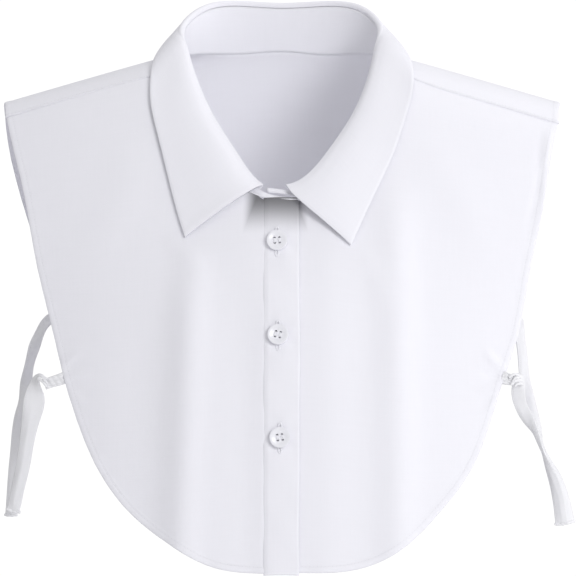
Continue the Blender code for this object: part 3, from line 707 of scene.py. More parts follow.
def patch(top, bottom, left, right, p, q):
    """Points (across, along) that fill four edges, each a function of a share, at shares p, q."""
    p = np.asarray(p)[None, :, None]
    q = np.asarray(q)[:, None, None]
    tops, bottoms = top(p[0, :, 0])[None], bottom(p[0, :, 0])[None]
    lefts, rights = left(q[:, 0, 0])[:, None], right(q[:, 0, 0])[:, None]
    corners = (1 - q) * ((1 - p) * tops[:, :1] + p * tops[:, -1:]) + q * ((1 - p) * bottoms[:, :1] + p * bottoms[:, -1:])
    return (1 - q) * tops + q * bottoms + (1 - p) * lefts + p * rights - corners


def straight(a, b):
    """A straight line between two points, as a function of a share."""
    return lambda share: np.asarray(a) + (np.asarray(b) - np.asarray(a)) * np.asarray(share)[..., None]


def shoulder_seam(side, neck_end, past):
    """The shoulder seam from the neck to the end of the shoulder, as a path."""
    share = even(24)
    across = neck_end[0] + (SIGN[side] * (SHOULDER_HALF - SHOULDER_SEAM_END) - neck_end[0]) * share
    levels = ridge_height(across) - SHOULDER_SEAM_DROP[side]
    along = np.array([along_at_level(x, level, "front") for x, level in zip(across, levels)])
    along += (neck_end[1] - along[0]) * smooth_step(1.0 - share / SHOULDER_SEAM_BLEND)
    return spline(share, np.stack([across, along + past], axis=-1))


def hem_map(points, edge_line):
    """Distance along and away from a hem for each point (across, along), in metres."""
    line = np.asarray(edge_line)
    along = lengths_along(line)
    flat = points.reshape(-1, 2)
    best = np.full(len(flat), 1e9)
    place = np.zeros(len(flat))
    for i in range(len(line) - 1):
        run = line[i + 1] - line[i]
        length = np.linalg.norm(run)
        t = np.clip(((flat - line[i]) @ run) / length**2, 0.0, 1.0)
        away = np.linalg.norm(flat - line[i] - t[:, None] * run, axis=1)
        nearer = away < best
        best[nearer] = away[nearer]
        place[nearer] = along[i] + t[nearer] * length
    return np.stack([place, best], axis=-1).reshape(points.shape) * MM


print("hem rows at", HEM_SPOTS, "mm")

# %% Relief of a turned hem
HEM_STEP = 0.2


def hem_lift(away):
    """The turned hem stands a little proud, rolls down at its edge, and is pulled in by its
    stitches. away is in millimetres."""
    raised = HEM_STEP * smooth_step((HEM_WIDTH + 0.5 - away) / 1.0)
    rolled = -0.35 * smooth_step((1.0 - away) / 1.0)
    drawn = -0.08 * np.exp(-(((away - 3.8) / 0.7) ** 2))
    return raised + rolled + drawn


def hem_ripple(place, away):
    """Tiny puckers that a stitched hem draws up, strongest on the curves."""
    wave = np.sin(place * 0.42) + 0.6 * np.sin(place * 0.23 + 1.3) + 0.5 * np.sin(place * 0.91 + 0.4)
    return 0.11 * wave * np.exp(-((away / 5.5) ** 2))


print("a hem stands", HEM_STEP, "mm proud")


# %% The two fronts
def make_front(side):
    middle_x = MIDDLE_EDGE[side]
    line = NECK_LINE(np.linspace(LEAF_KNOTS[FIRST_END[side]], neck_share(side), 60))[:, :2]
    line = line[np.abs(line[:, 0]) > MIDDLE_NECK_END[side]]
    start = [(middle_x, MIDDLE_NECK[side][0][1])] if side == "right" else []
    line = path_through(np.vstack(start + [MIDDLE_NECK[side], line]))(even(60))
    run = unit(np.gradient(line, axis=0)) * (1.0 if side == "right" else -1.0)
    neck_line = line - np.stack([run[:, 1], -run[:, 0]], axis=-1) * NECK_TUCK
    neck_line[0] = (middle_x, neck_line[0, 1])
    seam = shoulder_seam(side, neck_line[-1], -SEAM_LAP["front"])
    neck_line[-1] = seam(0.0)
    neck = path_through(neck_line)
    hem = (middle_x, along_at_level(middle_x, FRONT_HEM, "front"))
    edge = path_through([hem] + edge_points(FRONT_EDGE, side, "front")[::-1] + [tuple(seam(1.0))])
    middle = straight(neck_line[0], hem)
    p, q = even(FRONT_STEPS), panel_rows(200.0)
    flat = patch(neck, edge, middle, seam, p, q)
    x, along = np.moveaxis(flat, -1, 0)
    edge_map = hem_map(flat, edge(even(400)))
    place, away = np.moveaxis(edge_map, -1, 0) / MM
    lift = underlap(x) if side == "left" else -0.9 * smooth_step((x + 11.0) / 2.5)
    under_seam = np.broadcast_to((1.0 - p)[None, :] * 400.0, x.shape)
    tuck = -0.55 * smooth_step((6.0 - under_seam) / 6.0)
    points = lifted(x, along, lift + tuck + hem_lift(away) + hem_ripple(place, away))
    made = cloth("front_" + side + "_cloth", points, BODY_WALL, {"cloth": flat * MM, "edge": edge_map})
    print(made.name, points.shape[:2], "area", round(grid_area(points), 4), "square metres")
    return made, grid_area(points)


panels = {"front_" + side: make_front(side) for side in SIGN}


# %% The back
def make_back():
    neck_line = NECK_LINE(np.linspace(neck_share("right"), neck_share("left"), 121))[:, :2]
    run = unit(np.gradient(neck_line, axis=0))
    neck_line = neck_line - np.stack([run[:, 1], -run[:, 0]], axis=-1) * NECK_TUCK
    seams = {}
    edges = {}
    for side, end in (("right", 0), ("left", -1)):
        seams[side] = shoulder_seam(side, neck_line[end], -SEAM_LAP["back"])
        neck_line[end] = seams[side](0.0)
        shoulder = [tuple(seams[side](1.0)), (SIGN[side] * SHOULDER_HALF, 0.0)]
        edges[side] = shoulder + edge_points(BACK_EDGE, side, "back")
    hem = (0.0, along_at_level(0.0, BACK_HEM, "back"))
    edge = path_through(edges["right"] + [hem] + edges["left"][::-1])
    p, q = even(BACK_STEPS), panel_rows(230.0)
    flat = patch(path_through(neck_line), edge, seams["right"], seams["left"], p, q)
    x, along = np.moveaxis(flat, -1, 0)
    edge_map = hem_map(flat, edge(even(500)))
    place, away = np.moveaxis(edge_map, -1, 0) / MM
    from_seam = np.minimum(p, 1.0 - p)[None, :] * 500.0 * np.ones_like(x)
    seam_edge = 0.35 * smooth_step((5.0 - from_seam) / 4.0)
    points = lifted(x, along, seam_edge + hem_lift(away) + hem_ripple(place, away))
    seam_map = np.stack([np.broadcast_to(q[:, None] * 115.0, x.shape), from_seam], axis=-1) * MM
    made = cloth(
        "back_cloth", points, BODY_WALL, {"cloth": flat * MM, "edge": edge_map, "seam": seam_map}
    )
    print(made.name, points.shape[:2], "area", round(grid_area(points), 4), "square metres")
    return made, grid_area(points)


panels["back"] = make_back()

# %% [markdown]
# ## Placket
# The placket is the doubled strip that carries the buttonholes. It lies on the right front and
# its free edge laps over the left one. It is crisper than the body, with two folded long edges.
# Round each button the cloth is drawn in a little, so it dips and puckers there.

# %% Placket
BUTTON_LEVELS = (("button_1", -3.0, -119.0), ("button_2", -2.4, -176.5), ("button_3", -1.2, -239.0))
PLACKET_WALL = 1.1
PLACKET_LIFT = 0.45
PLACKET_STEPS, PLACKET_ROWS = 48, 330


def pucker(x, along):
    """How far the cloth near the buttons is drawn in or pushed out."""
    total = np.zeros(np.shape(x))
    for name, button_x, level in BUTTON_LEVELS:
        button_along = along_at_level(button_x, level, "front")
        dx, dy = x - button_x, along - button_along
        away = np.hypot(dx, dy)
        total = total - 0.35 * np.exp(-((away / 7.5) ** 2))
        ring = np.exp(-(((away - 9.5) / 3.2) ** 2))
        total = total + 0.20 * ring * np.cos(5.0 * np.arctan2(dx, dy) + button_x)
    return total


def make_placket():
    top = MIDDLE_NECK["right"][0][1] - 1.0
    bottom = along_at_level(0.0, PLACKET_HEM, "front")
    s = 0.5 - 0.5 * np.cos(np.pi * (0.08 + 0.84 * even(PLACKET_STEPS)))
    s = (s - s[0]) / (s[-1] - s[0])
    x, along = np.meshgrid(PLACKET_LEFT + (PLACKET_RIGHT - PLACKET_LEFT) * s, np.linspace(top, bottom, PLACKET_ROWS + 1))
    wander = 0.25 * np.sin(along / 31.0) + 0.15 * np.sin(along / 12.0 + 1.0)
    edge_away = np.minimum(x - PLACKET_LEFT, PLACKET_RIGHT - x)
    right_share = (x - PLACKET_LEFT) / (PLACKET_RIGHT - PLACKET_LEFT)
    x = x + wander * right_share
    roll = -0.30 * smooth_step((0.9 - edge_away) / 0.9)
    sewn = -0.50 * smooth_step((3.2 - (x - PLACKET_LEFT)) / 3.2)
    wave = 0.14 * np.sin(along / 9.0 + x / 8.0) + 0.10 * np.sin(along / 5.3 - x / 4.0)
    lift = PLACKET_LIFT + roll + sewn + pucker(x, along) + wave
    points = lifted(x, along, lift)
    flat = np.stack([x, along], axis=-1)
    edge_map = np.stack([along, edge_away], axis=-1)
    made = cloth("placket_cloth", points, PLACKET_WALL, {"cloth": flat * MM, "edge": edge_map * MM})
    print(made.name, "is", round(bottom - top), "mm long and", round(PLACKET_RIGHT - PLACKET_LEFT, 1), "mm wide")
    return made, grid_area(points), (PLACKET_RIGHT - PLACKET_LEFT, bottom - top)


panels["placket"] = make_placket()[:2]
PLACKET_CUT = (PLACKET_RIGHT - PLACKET_LEFT, 235.0)

# %% [markdown]
# ## Stand and leaf
# The stand rises from the neck line and leans in. The leaf starts just under the fold on the
# inside, where it is sewn to the stand, rolls over a small radius and falls in a gentle bow to
# its edge. A collar is interlined, so it keeps smooth curves and a firm, rounded edge, and the
# front edge curves up slightly at its points.

# %% Stand
ROLL_RADIUS = 1.5
ROLL_STAND = 2.9  # how far the leaf reaches down inside the fold
ROLL_SHARE = 0.45  # the same where the stand is low, as a share of its height
ROLL_GAP = 0.25
COLLAR_WALL = 1.2
STAND_STEPS, STAND_ROWS = 300, 16


def make_stand():
    share = even(STAND_STEPS)
    neck = neck_points(share)
    fold = FOLD_LINE(share)
    up = unit(fold - neck)
    out = unit(np.cross(up, np.gradient(fold, share, axis=0)))
    height = np.linalg.norm(fold - neck, axis=1, keepdims=True)
    top = height - np.minimum(ROLL_STAND, height * ROLL_SHARE)
    rows = []
    for part in even(STAND_ROWS):
        bow = -0.5 * math.sin(math.pi * part)
        rows.append(neck + up * (-0.4 + (top + 0.4) * part) + out * bow)
    points = np.array(rows)
    length = lengths_along(fold)
    rise = np.linalg.norm(points - points[:1], axis=-1)
    flat = np.stack([np.broadcast_to(length, rise.shape), rise], axis=-1)
    ends = np.minimum(length, length[-1] - length)
    away = np.minimum(np.broadcast_to(ends, rise.shape), rise[-1:] - rise + 0.6)
    edge_map = np.stack([flat[..., 0], away], axis=-1)
    made = cloth("collar_stand_cloth", points, COLLAR_WALL, {"cloth": flat * MM, "edge": edge_map * MM})
    print(made.name, "is", round(float(length[-1])), "mm long")
    return made, grid_area(points)


panels["collar_stand"] = make_stand()

# %% Leaf
LEAF_START_DOWN, LEAF_START_OUT = 0.22, 0.13
LEAF_END_BACK, LEAF_END_OUT = 0.35, 0.08
LEAF_SPOTS = (0.0, 0.35, 0.8, 1.4, 2.2, 3.2, 4.5)  # rows and columns at these distances from the edge
LEAF_STEPS, LEAF_FALL_ROWS, ROLL_STEPS = 260, 44, 12
LEAF_EDGE_ROLL = 0.45
LEAF_EDGE_LIE = 0.65  # the thin leaf's edge settles closer to the shoulders


def close_at_ends(first, last, steps, length, spots):
    """Shares from first to last, closer together at both ends. length is in millimetres."""
    near = np.array(spots) / length * (last - first)
    middle = np.linspace(first + near[-1], last - near[-1], steps + 1)
    return np.concatenate([first + near[:-1], middle, last - near[:-1][::-1]])


def make_leaf():
    share = close_at_ends(LEAF_KNOTS[0], LEAF_KNOTS[-1], LEAF_STEPS, 380.0, LEAF_SPOTS)
    neck = neck_points(share)
    fold = FOLD_LINE(share)
    edge = lifted(*np.moveaxis(LEAF_EDGE(share), -1, 0) * np.array([[1.0], [1.0], [LEAF_EDGE_LIE]]))
    height = np.linalg.norm(fold - neck, axis=1, keepdims=True)
    up = unit(fold - neck)
    out = unit(np.cross(up, np.gradient(fold, share, axis=0)))
    inside = np.minimum(ROLL_STAND, height * ROLL_SHARE) - ROLL_GAP
    centre = fold - up * ROLL_RADIUS + out * ROLL_RADIUS
    rows = [fold - up * inside, fold - up * (ROLL_RADIUS + (inside - ROLL_RADIUS) * 0.5)]
    for angle in np.linspace(0.0, 180.0, ROLL_STEPS + 1):
        turn = math.radians(angle)
        rows.append(centre + (up * math.sin(turn) - out * math.cos(turn)) * ROLL_RADIUS)
    start = rows[-1]
    reach = np.linalg.norm(edge - start, axis=1, keepdims=True)
    first = start + (out * LEAF_START_OUT - up * LEAF_START_DOWN) * reach
    second = edge + (start - edge) * LEAF_END_BACK + out * reach * LEAF_END_OUT
    falls = np.concatenate([even(LEAF_FALL_ROWS)[1:-1] * (1 - 5.0 / 50.0), 1 - np.array(LEAF_SPOTS)[::-1] / 50.0])
    for t in falls:
        near = start * (1 - t) ** 3 + first * 3 * t * (1 - t) ** 2
        rows.append(near + second * 3 * t * t * (1 - t) + edge * t**3)
    points = np.array(rows)
    length = lengths_along(fold)
    down = np.concatenate([np.zeros((1, points.shape[1])), np.cumsum(np.linalg.norm(np.diff(points, axis=0), axis=-1), axis=0)])
    from_edge = down[-1:] - down
    middle = len(points) // 2
    across = lengths_along(points[middle])
    from_ends = np.minimum(across, across[-1] - across)
    ends_away = np.broadcast_to(from_ends, down.shape)
    away = np.minimum(from_edge, ends_away)
    fallen = smooth_step((down - 8.0) / 6.0)
    normal = unit(np.cross(np.gradient(points, axis=0), np.gradient(points, axis=1)))
    if (normal[-3] * out).sum() < 0:
        normal = -normal
    edge_roll = -LEAF_EDGE_ROLL * np.exp(-((away / 1.1) ** 2))
    place = np.broadcast_to(length, down.shape)
    soft = 0.35 * np.sin(place / 38.0 + down / 16.0) + 0.22 * np.sin(place / 19.0 - down / 11.0 + 1.0)
    points = points + normal * ((edge_roll + soft) * fallen)[..., None]
    flat = np.stack([place, down], axis=-1)
    edge_place = np.where(from_edge < ends_away, place, down)
    edge_map = np.stack([edge_place, away], axis=-1)
    made = cloth("collar_leaf_cloth", points, COLLAR_WALL, {"cloth": flat * MM, "edge": edge_map * MM})
    print(made.name, points.shape[:2], "widest fall", round(float(down[-1].max())), "mm")
    return made, grid_area(points)


panels["collar_leaf"] = make_leaf()

# %% [markdown]
# ## Buttons
# These are plain shirt buttons: a disc with a rim, a dished middle and four holes. One is
# modelled as by hand from a cylinder, with insets for the rim and the dish, Booleans for the
# holes and a bevel that softens every edge, and is then copied to its three places.

# %% One button
BUTTON_RADIUS, BUTTON_HEIGHT = 6.35, 2.4
BUTTON_HOLE_RADIUS, BUTTON_HOLE_REACH = 0.8, 1.5
BUTTON_GAP = 0.25
BUTTON_RIM, BUTTON_DISH = 1.5, 0.4


def select_faces(mesh, wanted):
    """Selects only the faces that a test on centre and normal picks."""
    bpy.ops.mesh.select_all(action="DESELECT")
    bpy.ops.object.mode_set(mode="OBJECT")
    for face in mesh.polygons:
        face.select = wanted(face.center, face.normal)
    bpy.ops.object.mode_set(mode="EDIT")


bpy.ops.object.select_all(action="DESELECT")
bpy.ops.mesh.primitive_cylinder_add(
    vertices=64,
    radius=BUTTON_RADIUS * MM,
    depth=BUTTON_HEIGHT * MM,
    location=(0.0, 0.0, BUTTON_HEIGHT / 2 * MM),
)
button_model = bpy.context.object
button_model.name = "button_model"
bpy.ops.object.transform_apply(location=True, rotation=False, scale=False)
bpy.ops.object.mode_set(mode="EDIT")
bpy.ops.mesh.select_mode(type="FACE")
select_faces(button_model.data, lambda centre, normal: normal.z > 0.9)
bpy.ops.mesh.inset(thickness=0.55 * MM, depth=0.0)
bpy.ops.mesh.inset(thickness=(BUTTON_RIM - 0.55) * MM, depth=0.0)
bpy.ops.mesh.inset(thickness=0.9 * MM, depth=-BUTTON_DISH * MM)
select_faces(button_model.data, lambda centre, normal: normal.z < -0.9)
bpy.ops.mesh.inset(thickness=1.4 * MM, depth=0.0)
bpy.ops.transform.translate(value=(0.0, 0.0, 0.0))
bpy.ops.object.mode_set(mode="OBJECT")
for vertex in button_model.data.vertices:
    if vertex.co.z < 0.1 * MM and vertex.co.xy.length > (BUTTON_RADIUS - 0.2) * MM:
        vertex.co.z += 0.75 * MM
print("button blank:", len(button_model.data.polygons), "faces")

# %% Its holes and soft edges
for across, up in ((1, 1), (-1, 1), (-1, -1), (1, -1)):
    bpy.ops.object.select_all(action="DESELECT")
    bpy.ops.mesh.primitive_cylinder_add(
        vertices=24,
        radius=BUTTON_HOLE_RADIUS * MM,
        depth=3 * BUTTON_HEIGHT * MM,
        location=(across * BUTTON_HOLE_REACH * MM, up * BUTTON_HOLE_REACH * MM, 0.0),
    )
    drill = bpy.context.object
    bpy.ops.object.select_all(action="DESELECT")
    button_model.select_set(True)
    bpy.context.view_layer.objects.active = button_model
    hole = button_model.modifiers.new("hole", "BOOLEAN")
    hole.operation = "DIFFERENCE"
    hole.object = drill
    bpy.ops.object.modifier_apply(modifier=hole.name)
    bpy.data.objects.remove(drill)
soften = button_model.modifiers.new("soften", "BEVEL")
soften.width = 0.16 * MM
soften.segments = 3
soften.limit_method = "ANGLE"
soften.angle_limit = math.radians(28.0)
bpy.ops.object.modifier_apply(modifier=soften.name)
bpy.ops.object.shade_smooth_by_angle(angle=math.radians(40.0))
print("finished button:", len(button_model.data.polygons), "faces")


# %% Three buttons with their thread
def button_place(x, level):
    """Where a button sits: its Z straight out of the placket, and its Y up the placket."""
    along = along_at_level(x, level, "front")
    out = Vector(form_normal(x, along))
    side = Vector((0.0, 0.0, 1.0)).cross(out).normalized()
    seat = Vector(form_point(x, along)) + out * (0.3 + 0.8 + BUTTON_GAP + 0.1)
    place = Matrix((side, out.cross(side), out)).transposed().to_4x4()
    place.translation = seat * MM
    return place


THREAD_RADIUS = 0.24
button_objects = {}
thread_objects = {}
for number, (name, x, level) in enumerate(BUTTON_LEVELS):
    place = button_place(x, level)
    turn = Matrix.Rotation(math.radians((4.0, -11.0, 7.0)[number]), 4, "Z")
    copy = bpy.data.objects.new(name + "_disc", button_model.data.copy())
    copy.data.transform(place @ turn)
    bpy.context.scene.collection.objects.link(copy)
    button_objects[name] = copy
    strands = []
    for across in (-1, 1):
        for strand in (-1.5, -0.5, 0.5, 1.5):
            s = np.linspace(-1.0, 1.0, 15)
            height = BUTTON_HEIGHT - BUTTON_DISH + 0.22 - 1.2 * np.abs(s) ** 8
            shift = across * BUTTON_HOLE_REACH + strand * 0.36
            line = np.stack([np.full(15, shift), s * (BUTTON_HOLE_REACH - 0.1), height], axis=-1)
            strands.append(tube(line, THREAD_RADIUS, 8, up=(0.0, 0.0, 1.0)))
    thread = joined_tubes(name + "_thread", strands)
    thread.data.transform(place @ turn)
    thread_objects[name] = thread
bpy.data.objects.remove(button_model)
print("buttons:", ", ".join(sorted(button_objects)))

# %% [markdown]
# ## Buttonholes
# A buttonhole is a slit with a close zigzag of thread all round it. Each runs up and down under
# its button and is a little longer, so its two ends show above and below. It is a flattened
# tube in the shape of a stadium that lies on the placket, with fine ridges for the stitches.

# %% Buttonholes
BUTTONHOLE_HALF, BUTTONHOLE_SIDE = 8.9, 0.85
BUTTONHOLE_THREAD = 0.62
STITCH_PITCH = 0.55


def make_buttonhole(name, x, level):
    centre_along = along_at_level(x, level, "front") + 0.4
    straight_half = BUTTONHOLE_HALF - BUTTONHOLE_SIDE
    turns = np.linspace(0.0, math.pi, 15)
    side = np.linspace(-straight_half, straight_half, 61)
    right_side = np.stack([np.full(61, BUTTONHOLE_SIDE), side], axis=-1)
    lower_end = np.stack([BUTTONHOLE_SIDE * np.cos(turns), straight_half + BUTTONHOLE_SIDE * np.sin(turns)], axis=-1)
    left_side = np.stack([np.full(61, -BUTTONHOLE_SIDE), side[::-1]], axis=-1)
    upper_end = np.stack([-BUTTONHOLE_SIDE * np.cos(turns), -straight_half - BUTTONHOLE_SIDE * np.sin(turns)], axis=-1)
    loop = np.vstack([right_side[:-1], lower_end[:-1], left_side[:-1], upper_end[:-1]])
    sides = 8
    run = unit(np.roll(loop, -1, axis=0) - np.roll(loop, 1, axis=0))
    across = np.stack([run[:, 1], -run[:, 0]], axis=-1)
    at = np.concatenate([[0.0], np.cumsum(np.linalg.norm(np.diff(loop, axis=0), axis=1))])
    width = BUTTONHOLE_THREAD * (1.0 + 0.10 * np.sin(2 * np.pi * at / (2 * STITCH_PITCH)))
    angles = 2 * np.pi * np.arange(sides) / sides
    flat = loop[:, None] + across[:, None] * (np.cos(angles)[None, :, None] * width[:, None, None])
    rise = 0.24 + 0.26 * np.sin(angles)[None, :] * (1.0 + 0.2 * np.sin(2 * np.pi * at / (2 * STITCH_PITCH)))[:, None]
    place_x, place_along = x + flat[..., 0], centre_along + flat[..., 1]
    base = PLACKET_LIFT + PLACKET_WALL / 2 + pucker(place_x, place_along)
    points = lifted(place_x, place_along, base + rise)
    count = len(loop)
    faces = [
        (r * sides + i, r * sides + (i + 1) % sides, ((r + 1) % count) * sides + (i + 1) % sides, ((r + 1) % count) * sides + i)
        for r in range(count)
        for i in range(sides)
    ]
    return joined_tubes(name, [(points.reshape(-1, 3), faces)])


buttonhole_objects = {
    name: make_buttonhole("buttonhole_" + name[-1], x, level) for name, x, level in BUTTON_LEVELS
}
print("buttonholes are", 2 * BUTTONHOLE_HALF, "mm long")

# %% [markdown]
# ## Materials
# White cotton poplin is a close plain weave. It is matt, with a faint sheen along grazing
# edges, and a cool white from the brightener it is washed with. Four effects make it: the weave,
# slight unevenness in the thread, soft small wrinkles, and the stitches of the hems. Each is a
# node group, so the panels, the collar and the tapes use the same ones with their own values.
# The weave and the stitches read the UV maps, which are in metres, so they follow the cloth.

# %% Helpers for node trees
def new_group(name, inputs, outputs):
    """A shader node group with named inputs (name: default) and outputs (name: kind)."""
    tree = bpy.data.node_groups.new(name, "ShaderNodeTree")
    for title, default in inputs.items():
        kind = "NodeSocketVector" if default is None else "NodeSocketFloat"
        socket = tree.interface.new_socket(title, in_out="INPUT", socket_type=kind)
        if default is not None:
            socket.default_value = default
    for title, kind in outputs.items():
        tree.interface.new_socket(title, in_out="OUTPUT", socket_type=kind)
    return tree, tree.nodes.new("NodeGroupInput"), tree.nodes.new("NodeGroupOutput")


def math_node(tree, operation, first, second=None, third=None):
    """A Math node whose inputs are sockets or numbers."""
    node = tree.nodes.new("ShaderNodeMath")
    node.operation = operation
    for slot, value in zip(node.inputs, (first, second, third)):
        if value is None:
            continue
        if isinstance(value, (int, float)):
            slot.default_value = value
        else:
            tree.links.new(value, slot)
    return node.outputs[0]


def soft_range(tree, value, low, high):
    """0 below low, 1 above high, smooth between."""
    node = tree.nodes.new("ShaderNodeMapRange")
    node.interpolation_type = "SMOOTHSTEP"
    tree.links.new(value, node.inputs["Value"])
    for title, number in (("From Min", low), ("From Max", high)):
        if isinstance(number, (int, float)):
            node.inputs[title].default_value = number
        else:
            tree.links.new(number, node.inputs[title])
    return node.outputs[0]


print("node helpers are ready")

# %% Weave and thread groups
def weave_group():
    """A plain weave. Height is in metres, and Shade is the thread's small change of tone."""
    tree, given, result = new_group(
        "plain weave",
        {"Threads": None, "Pitch": 0.0003, "Depth": 0.00003},
        {"Height": "NodeSocketFloat", "Shade": "NodeSocketFloat"},
    )
    split = tree.nodes.new("ShaderNodeSeparateXYZ")
    tree.links.new(given.outputs["Threads"], split.inputs[0])
    waves = []
    for axis in ("X", "Y"):
        turns = math_node(tree, "DIVIDE", split.outputs[axis], given.outputs["Pitch"])
        waves.append(math_node(tree, "SINE", math_node(tree, "MULTIPLY", turns, math.pi)))
    over = math_node(tree, "MULTIPLY", waves[0], waves[1])
    warp = math_node(tree, "ABSOLUTE", waves[0])
    weft = math_node(tree, "ABSOLUTE", waves[1])
    mixed = tree.nodes.new("ShaderNodeMix")
    tree.links.new(math_node(tree, "MULTIPLY_ADD", over, 0.5, 0.5), mixed.inputs[0])
    tree.links.new(warp, mixed.inputs[2])
    tree.links.new(weft, mixed.inputs[3])
    height = math_node(tree, "MULTIPLY", mixed.outputs[0], given.outputs["Depth"])
    tree.links.new(height, result.inputs["Height"])
    tree.links.new(mixed.outputs[0], result.inputs["Shade"])
    return tree


def slub_group():
    """Streaks where threads are a little thicker, along and across the cloth."""
    tree, given, result = new_group(
        "thread streaks", {"Threads": None, "Scale": 900.0}, {"Streaks": "NodeSocketFloat"}
    )
    found = []
    for stretch in ((1.0, 0.04, 1.0), (0.04, 1.0, 1.0)):
        placed = tree.nodes.new("ShaderNodeMapping")
        placed.inputs["Scale"].default_value = stretch
        tree.links.new(given.outputs["Threads"], placed.inputs["Vector"])
        noise = tree.nodes.new("ShaderNodeTexNoise")
        noise.inputs["Detail"].default_value = 2.0
        tree.links.new(placed.outputs[0], noise.inputs["Vector"])
        tree.links.new(given.outputs["Scale"], noise.inputs["Scale"])
        found.append(noise.outputs[0])
    mean = math_node(tree, "MULTIPLY", math_node(tree, "ADD", found[0], found[1]), 0.5)
    tree.links.new(mean, result.inputs["Streaks"])
    return tree


def wrinkle_group():
    """Soft small wrinkles left by wear and pressing. Height is in metres."""
    tree, given, result = new_group(
        "soft wrinkles",
        {"Place": None, "Depth": 0.0003, "Scale": 22.0},
        {"Height": "NodeSocketFloat"},
    )
    placed = tree.nodes.new("ShaderNodeMapping")
    placed.inputs["Scale"].default_value = (1.0, 1.0, 0.55)
    tree.links.new(given.outputs["Place"], placed.inputs["Vector"])
    noise = tree.nodes.new("ShaderNodeTexNoise")
    noise.inputs["Detail"].default_value = 2.5
    noise.inputs["Roughness"].default_value = 0.42
    noise.inputs["Distortion"].default_value = 0.35
    tree.links.new(placed.outputs[0], noise.inputs["Vector"])
    tree.links.new(given.outputs["Scale"], noise.inputs["Scale"])
    tree.links.new(math_node(tree, "MULTIPLY", noise.outputs[0], given.outputs["Depth"]), result.inputs["Height"])
    return tree


def throat_group():
    """A mask for painted shade: Open is 0 where the closed collar keeps light off the cloth below the throat, 1
    elsewhere.
    """
    tree, given, result = new_group(
        "shade under the throat",
        {"Place": None, "Top": -0.0905, "Depth": 0.025, "Middle": -0.004, "Half width": 0.011},
        {"Open": "NodeSocketFloat"},
    )
    split = tree.nodes.new("ShaderNodeSeparateXYZ")
    tree.links.new(given.outputs["Place"], split.inputs[0])
    below = math_node(tree, "SUBTRACT", given.outputs["Top"], split.outputs["Z"])
    down = soft_range(tree, below, 0.0, given.outputs["Depth"])
    away = math_node(tree, "ABSOLUTE", math_node(tree, "SUBTRACT", split.outputs["X"], given.outputs["Middle"]))
    outer = math_node(tree, "MULTIPLY", given.outputs["Half width"], 1.9)
    beside = soft_range(tree, away, given.outputs["Half width"], outer)
    tree.links.new(math_node(tree, "MAXIMUM", down, beside), result.inputs["Open"])
    return tree


WEAVE = weave_group()
THROAT = throat_group()
SLUBS = slub_group()
WRINKLES = wrinkle_group()
print("groups:", WEAVE.name, "/", SLUBS.name, "/", WRINKLES.name)


# %% Stitch group
def stitch_group():
    """A row of stitches along an edge. Edge holds the distance along and away from it, in metres. Thread is 1 on the
    thread, Groove is 1 where the cloth is pulled in, and Hole is 1 at the needle holes, which get a painted shade."""
    tree, given, result = new_group(
        "row of stitches",
        {"Edge": None, "Inset": 0.0038, "Pitch": 0.0024, "Width": 0.00032},
        {"Thread": "NodeSocketFloat", "Groove": "NodeSocketFloat", "Hole": "NodeSocketFloat"},
    )
    split = tree.nodes.new("ShaderNodeSeparateXYZ")
    tree.links.new(given.outputs["Edge"], split.inputs[0])
    off = math_node(tree, "ABSOLUTE", math_node(tree, "SUBTRACT", split.outputs["Y"], given.outputs["Inset"]))
    narrow = math_node(tree, "MULTIPLY", given.outputs["Width"], 0.6)
    on_line = math_node(tree, "SUBTRACT", 1.0, soft_range(tree, off, math_node(tree, "MULTIPLY", narrow, 0.4), narrow))
    wide = math_node(tree, "MULTIPLY", given.outputs["Width"], 3.2)
    groove = math_node(tree, "SUBTRACT", 1.0, soft_range(tree, off, 0.0, wide))
    turns = math_node(tree, "FRACT", math_node(tree, "DIVIDE", split.outputs["X"], given.outputs["Pitch"]))
    from_middle = math_node(tree, "ABSOLUTE", math_node(tree, "SUBTRACT", turns, 0.5))
    stitch = math_node(tree, "SUBTRACT", 1.0, soft_range(tree, from_middle, 0.36, 0.42))
    hole = soft_range(tree, from_middle, 0.42, 0.48)
    tree.links.new(math_node(tree, "MULTIPLY", on_line, stitch), result.inputs["Thread"])
    tree.links.new(groove, result.inputs["Groove"])
    tree.links.new(math_node(tree, "MULTIPLY", on_line, hole), result.inputs["Hole"])
    return tree


STITCHES = stitch_group()
print("group:", STITCHES.name)

# %% [markdown]
# Every cloth material is put together in the same order: the heights of weave, streaks, wrinkles and stitches are
# added in metres and feed one Bump node, and the thread's tone changes the colour a little. The needle holes get a
# painted shade of grey, and on the fronts and the placket a painted shade darkens the cloth below the throat.

# %% Cloth materials
CLOTH_WHITE = (0.872, 0.868, 0.925, 1.0)
TAPE_WHITE = (0.87, 0.87, 0.90, 1.0)
# Painted shade for the needle holes of the stitches.
NEEDLE_HOLE_SHADE = (0.55, 0.55, 0.60, 1.0)


def place_group(tree, group, **values):
    node = tree.nodes.new("ShaderNodeGroup")
    node.node_tree = group
    for title, value in values.items():
        if isinstance(value, (int, float)):
            node.inputs[title].default_value = value
        else:
            tree.links.new(value, node.inputs[title])
    return node


def uv_of(tree, name):
    node = tree.nodes.new("ShaderNodeUVMap")
    node.uv_map = name
    return node.outputs[0]


def mixed_colour(tree, share, first, second):
    """Mixes two colours, each a socket or four numbers, by a share."""
    node = tree.nodes.new("ShaderNodeMix")
    node.data_type = "RGBA"
    tree.links.new(share, node.inputs[0])
    for slot, value in ((node.inputs[6], first), (node.inputs[7], second)):
        if isinstance(value, tuple):
            slot.default_value = value
        else:
            tree.links.new(value, slot)
    return node.outputs[2]


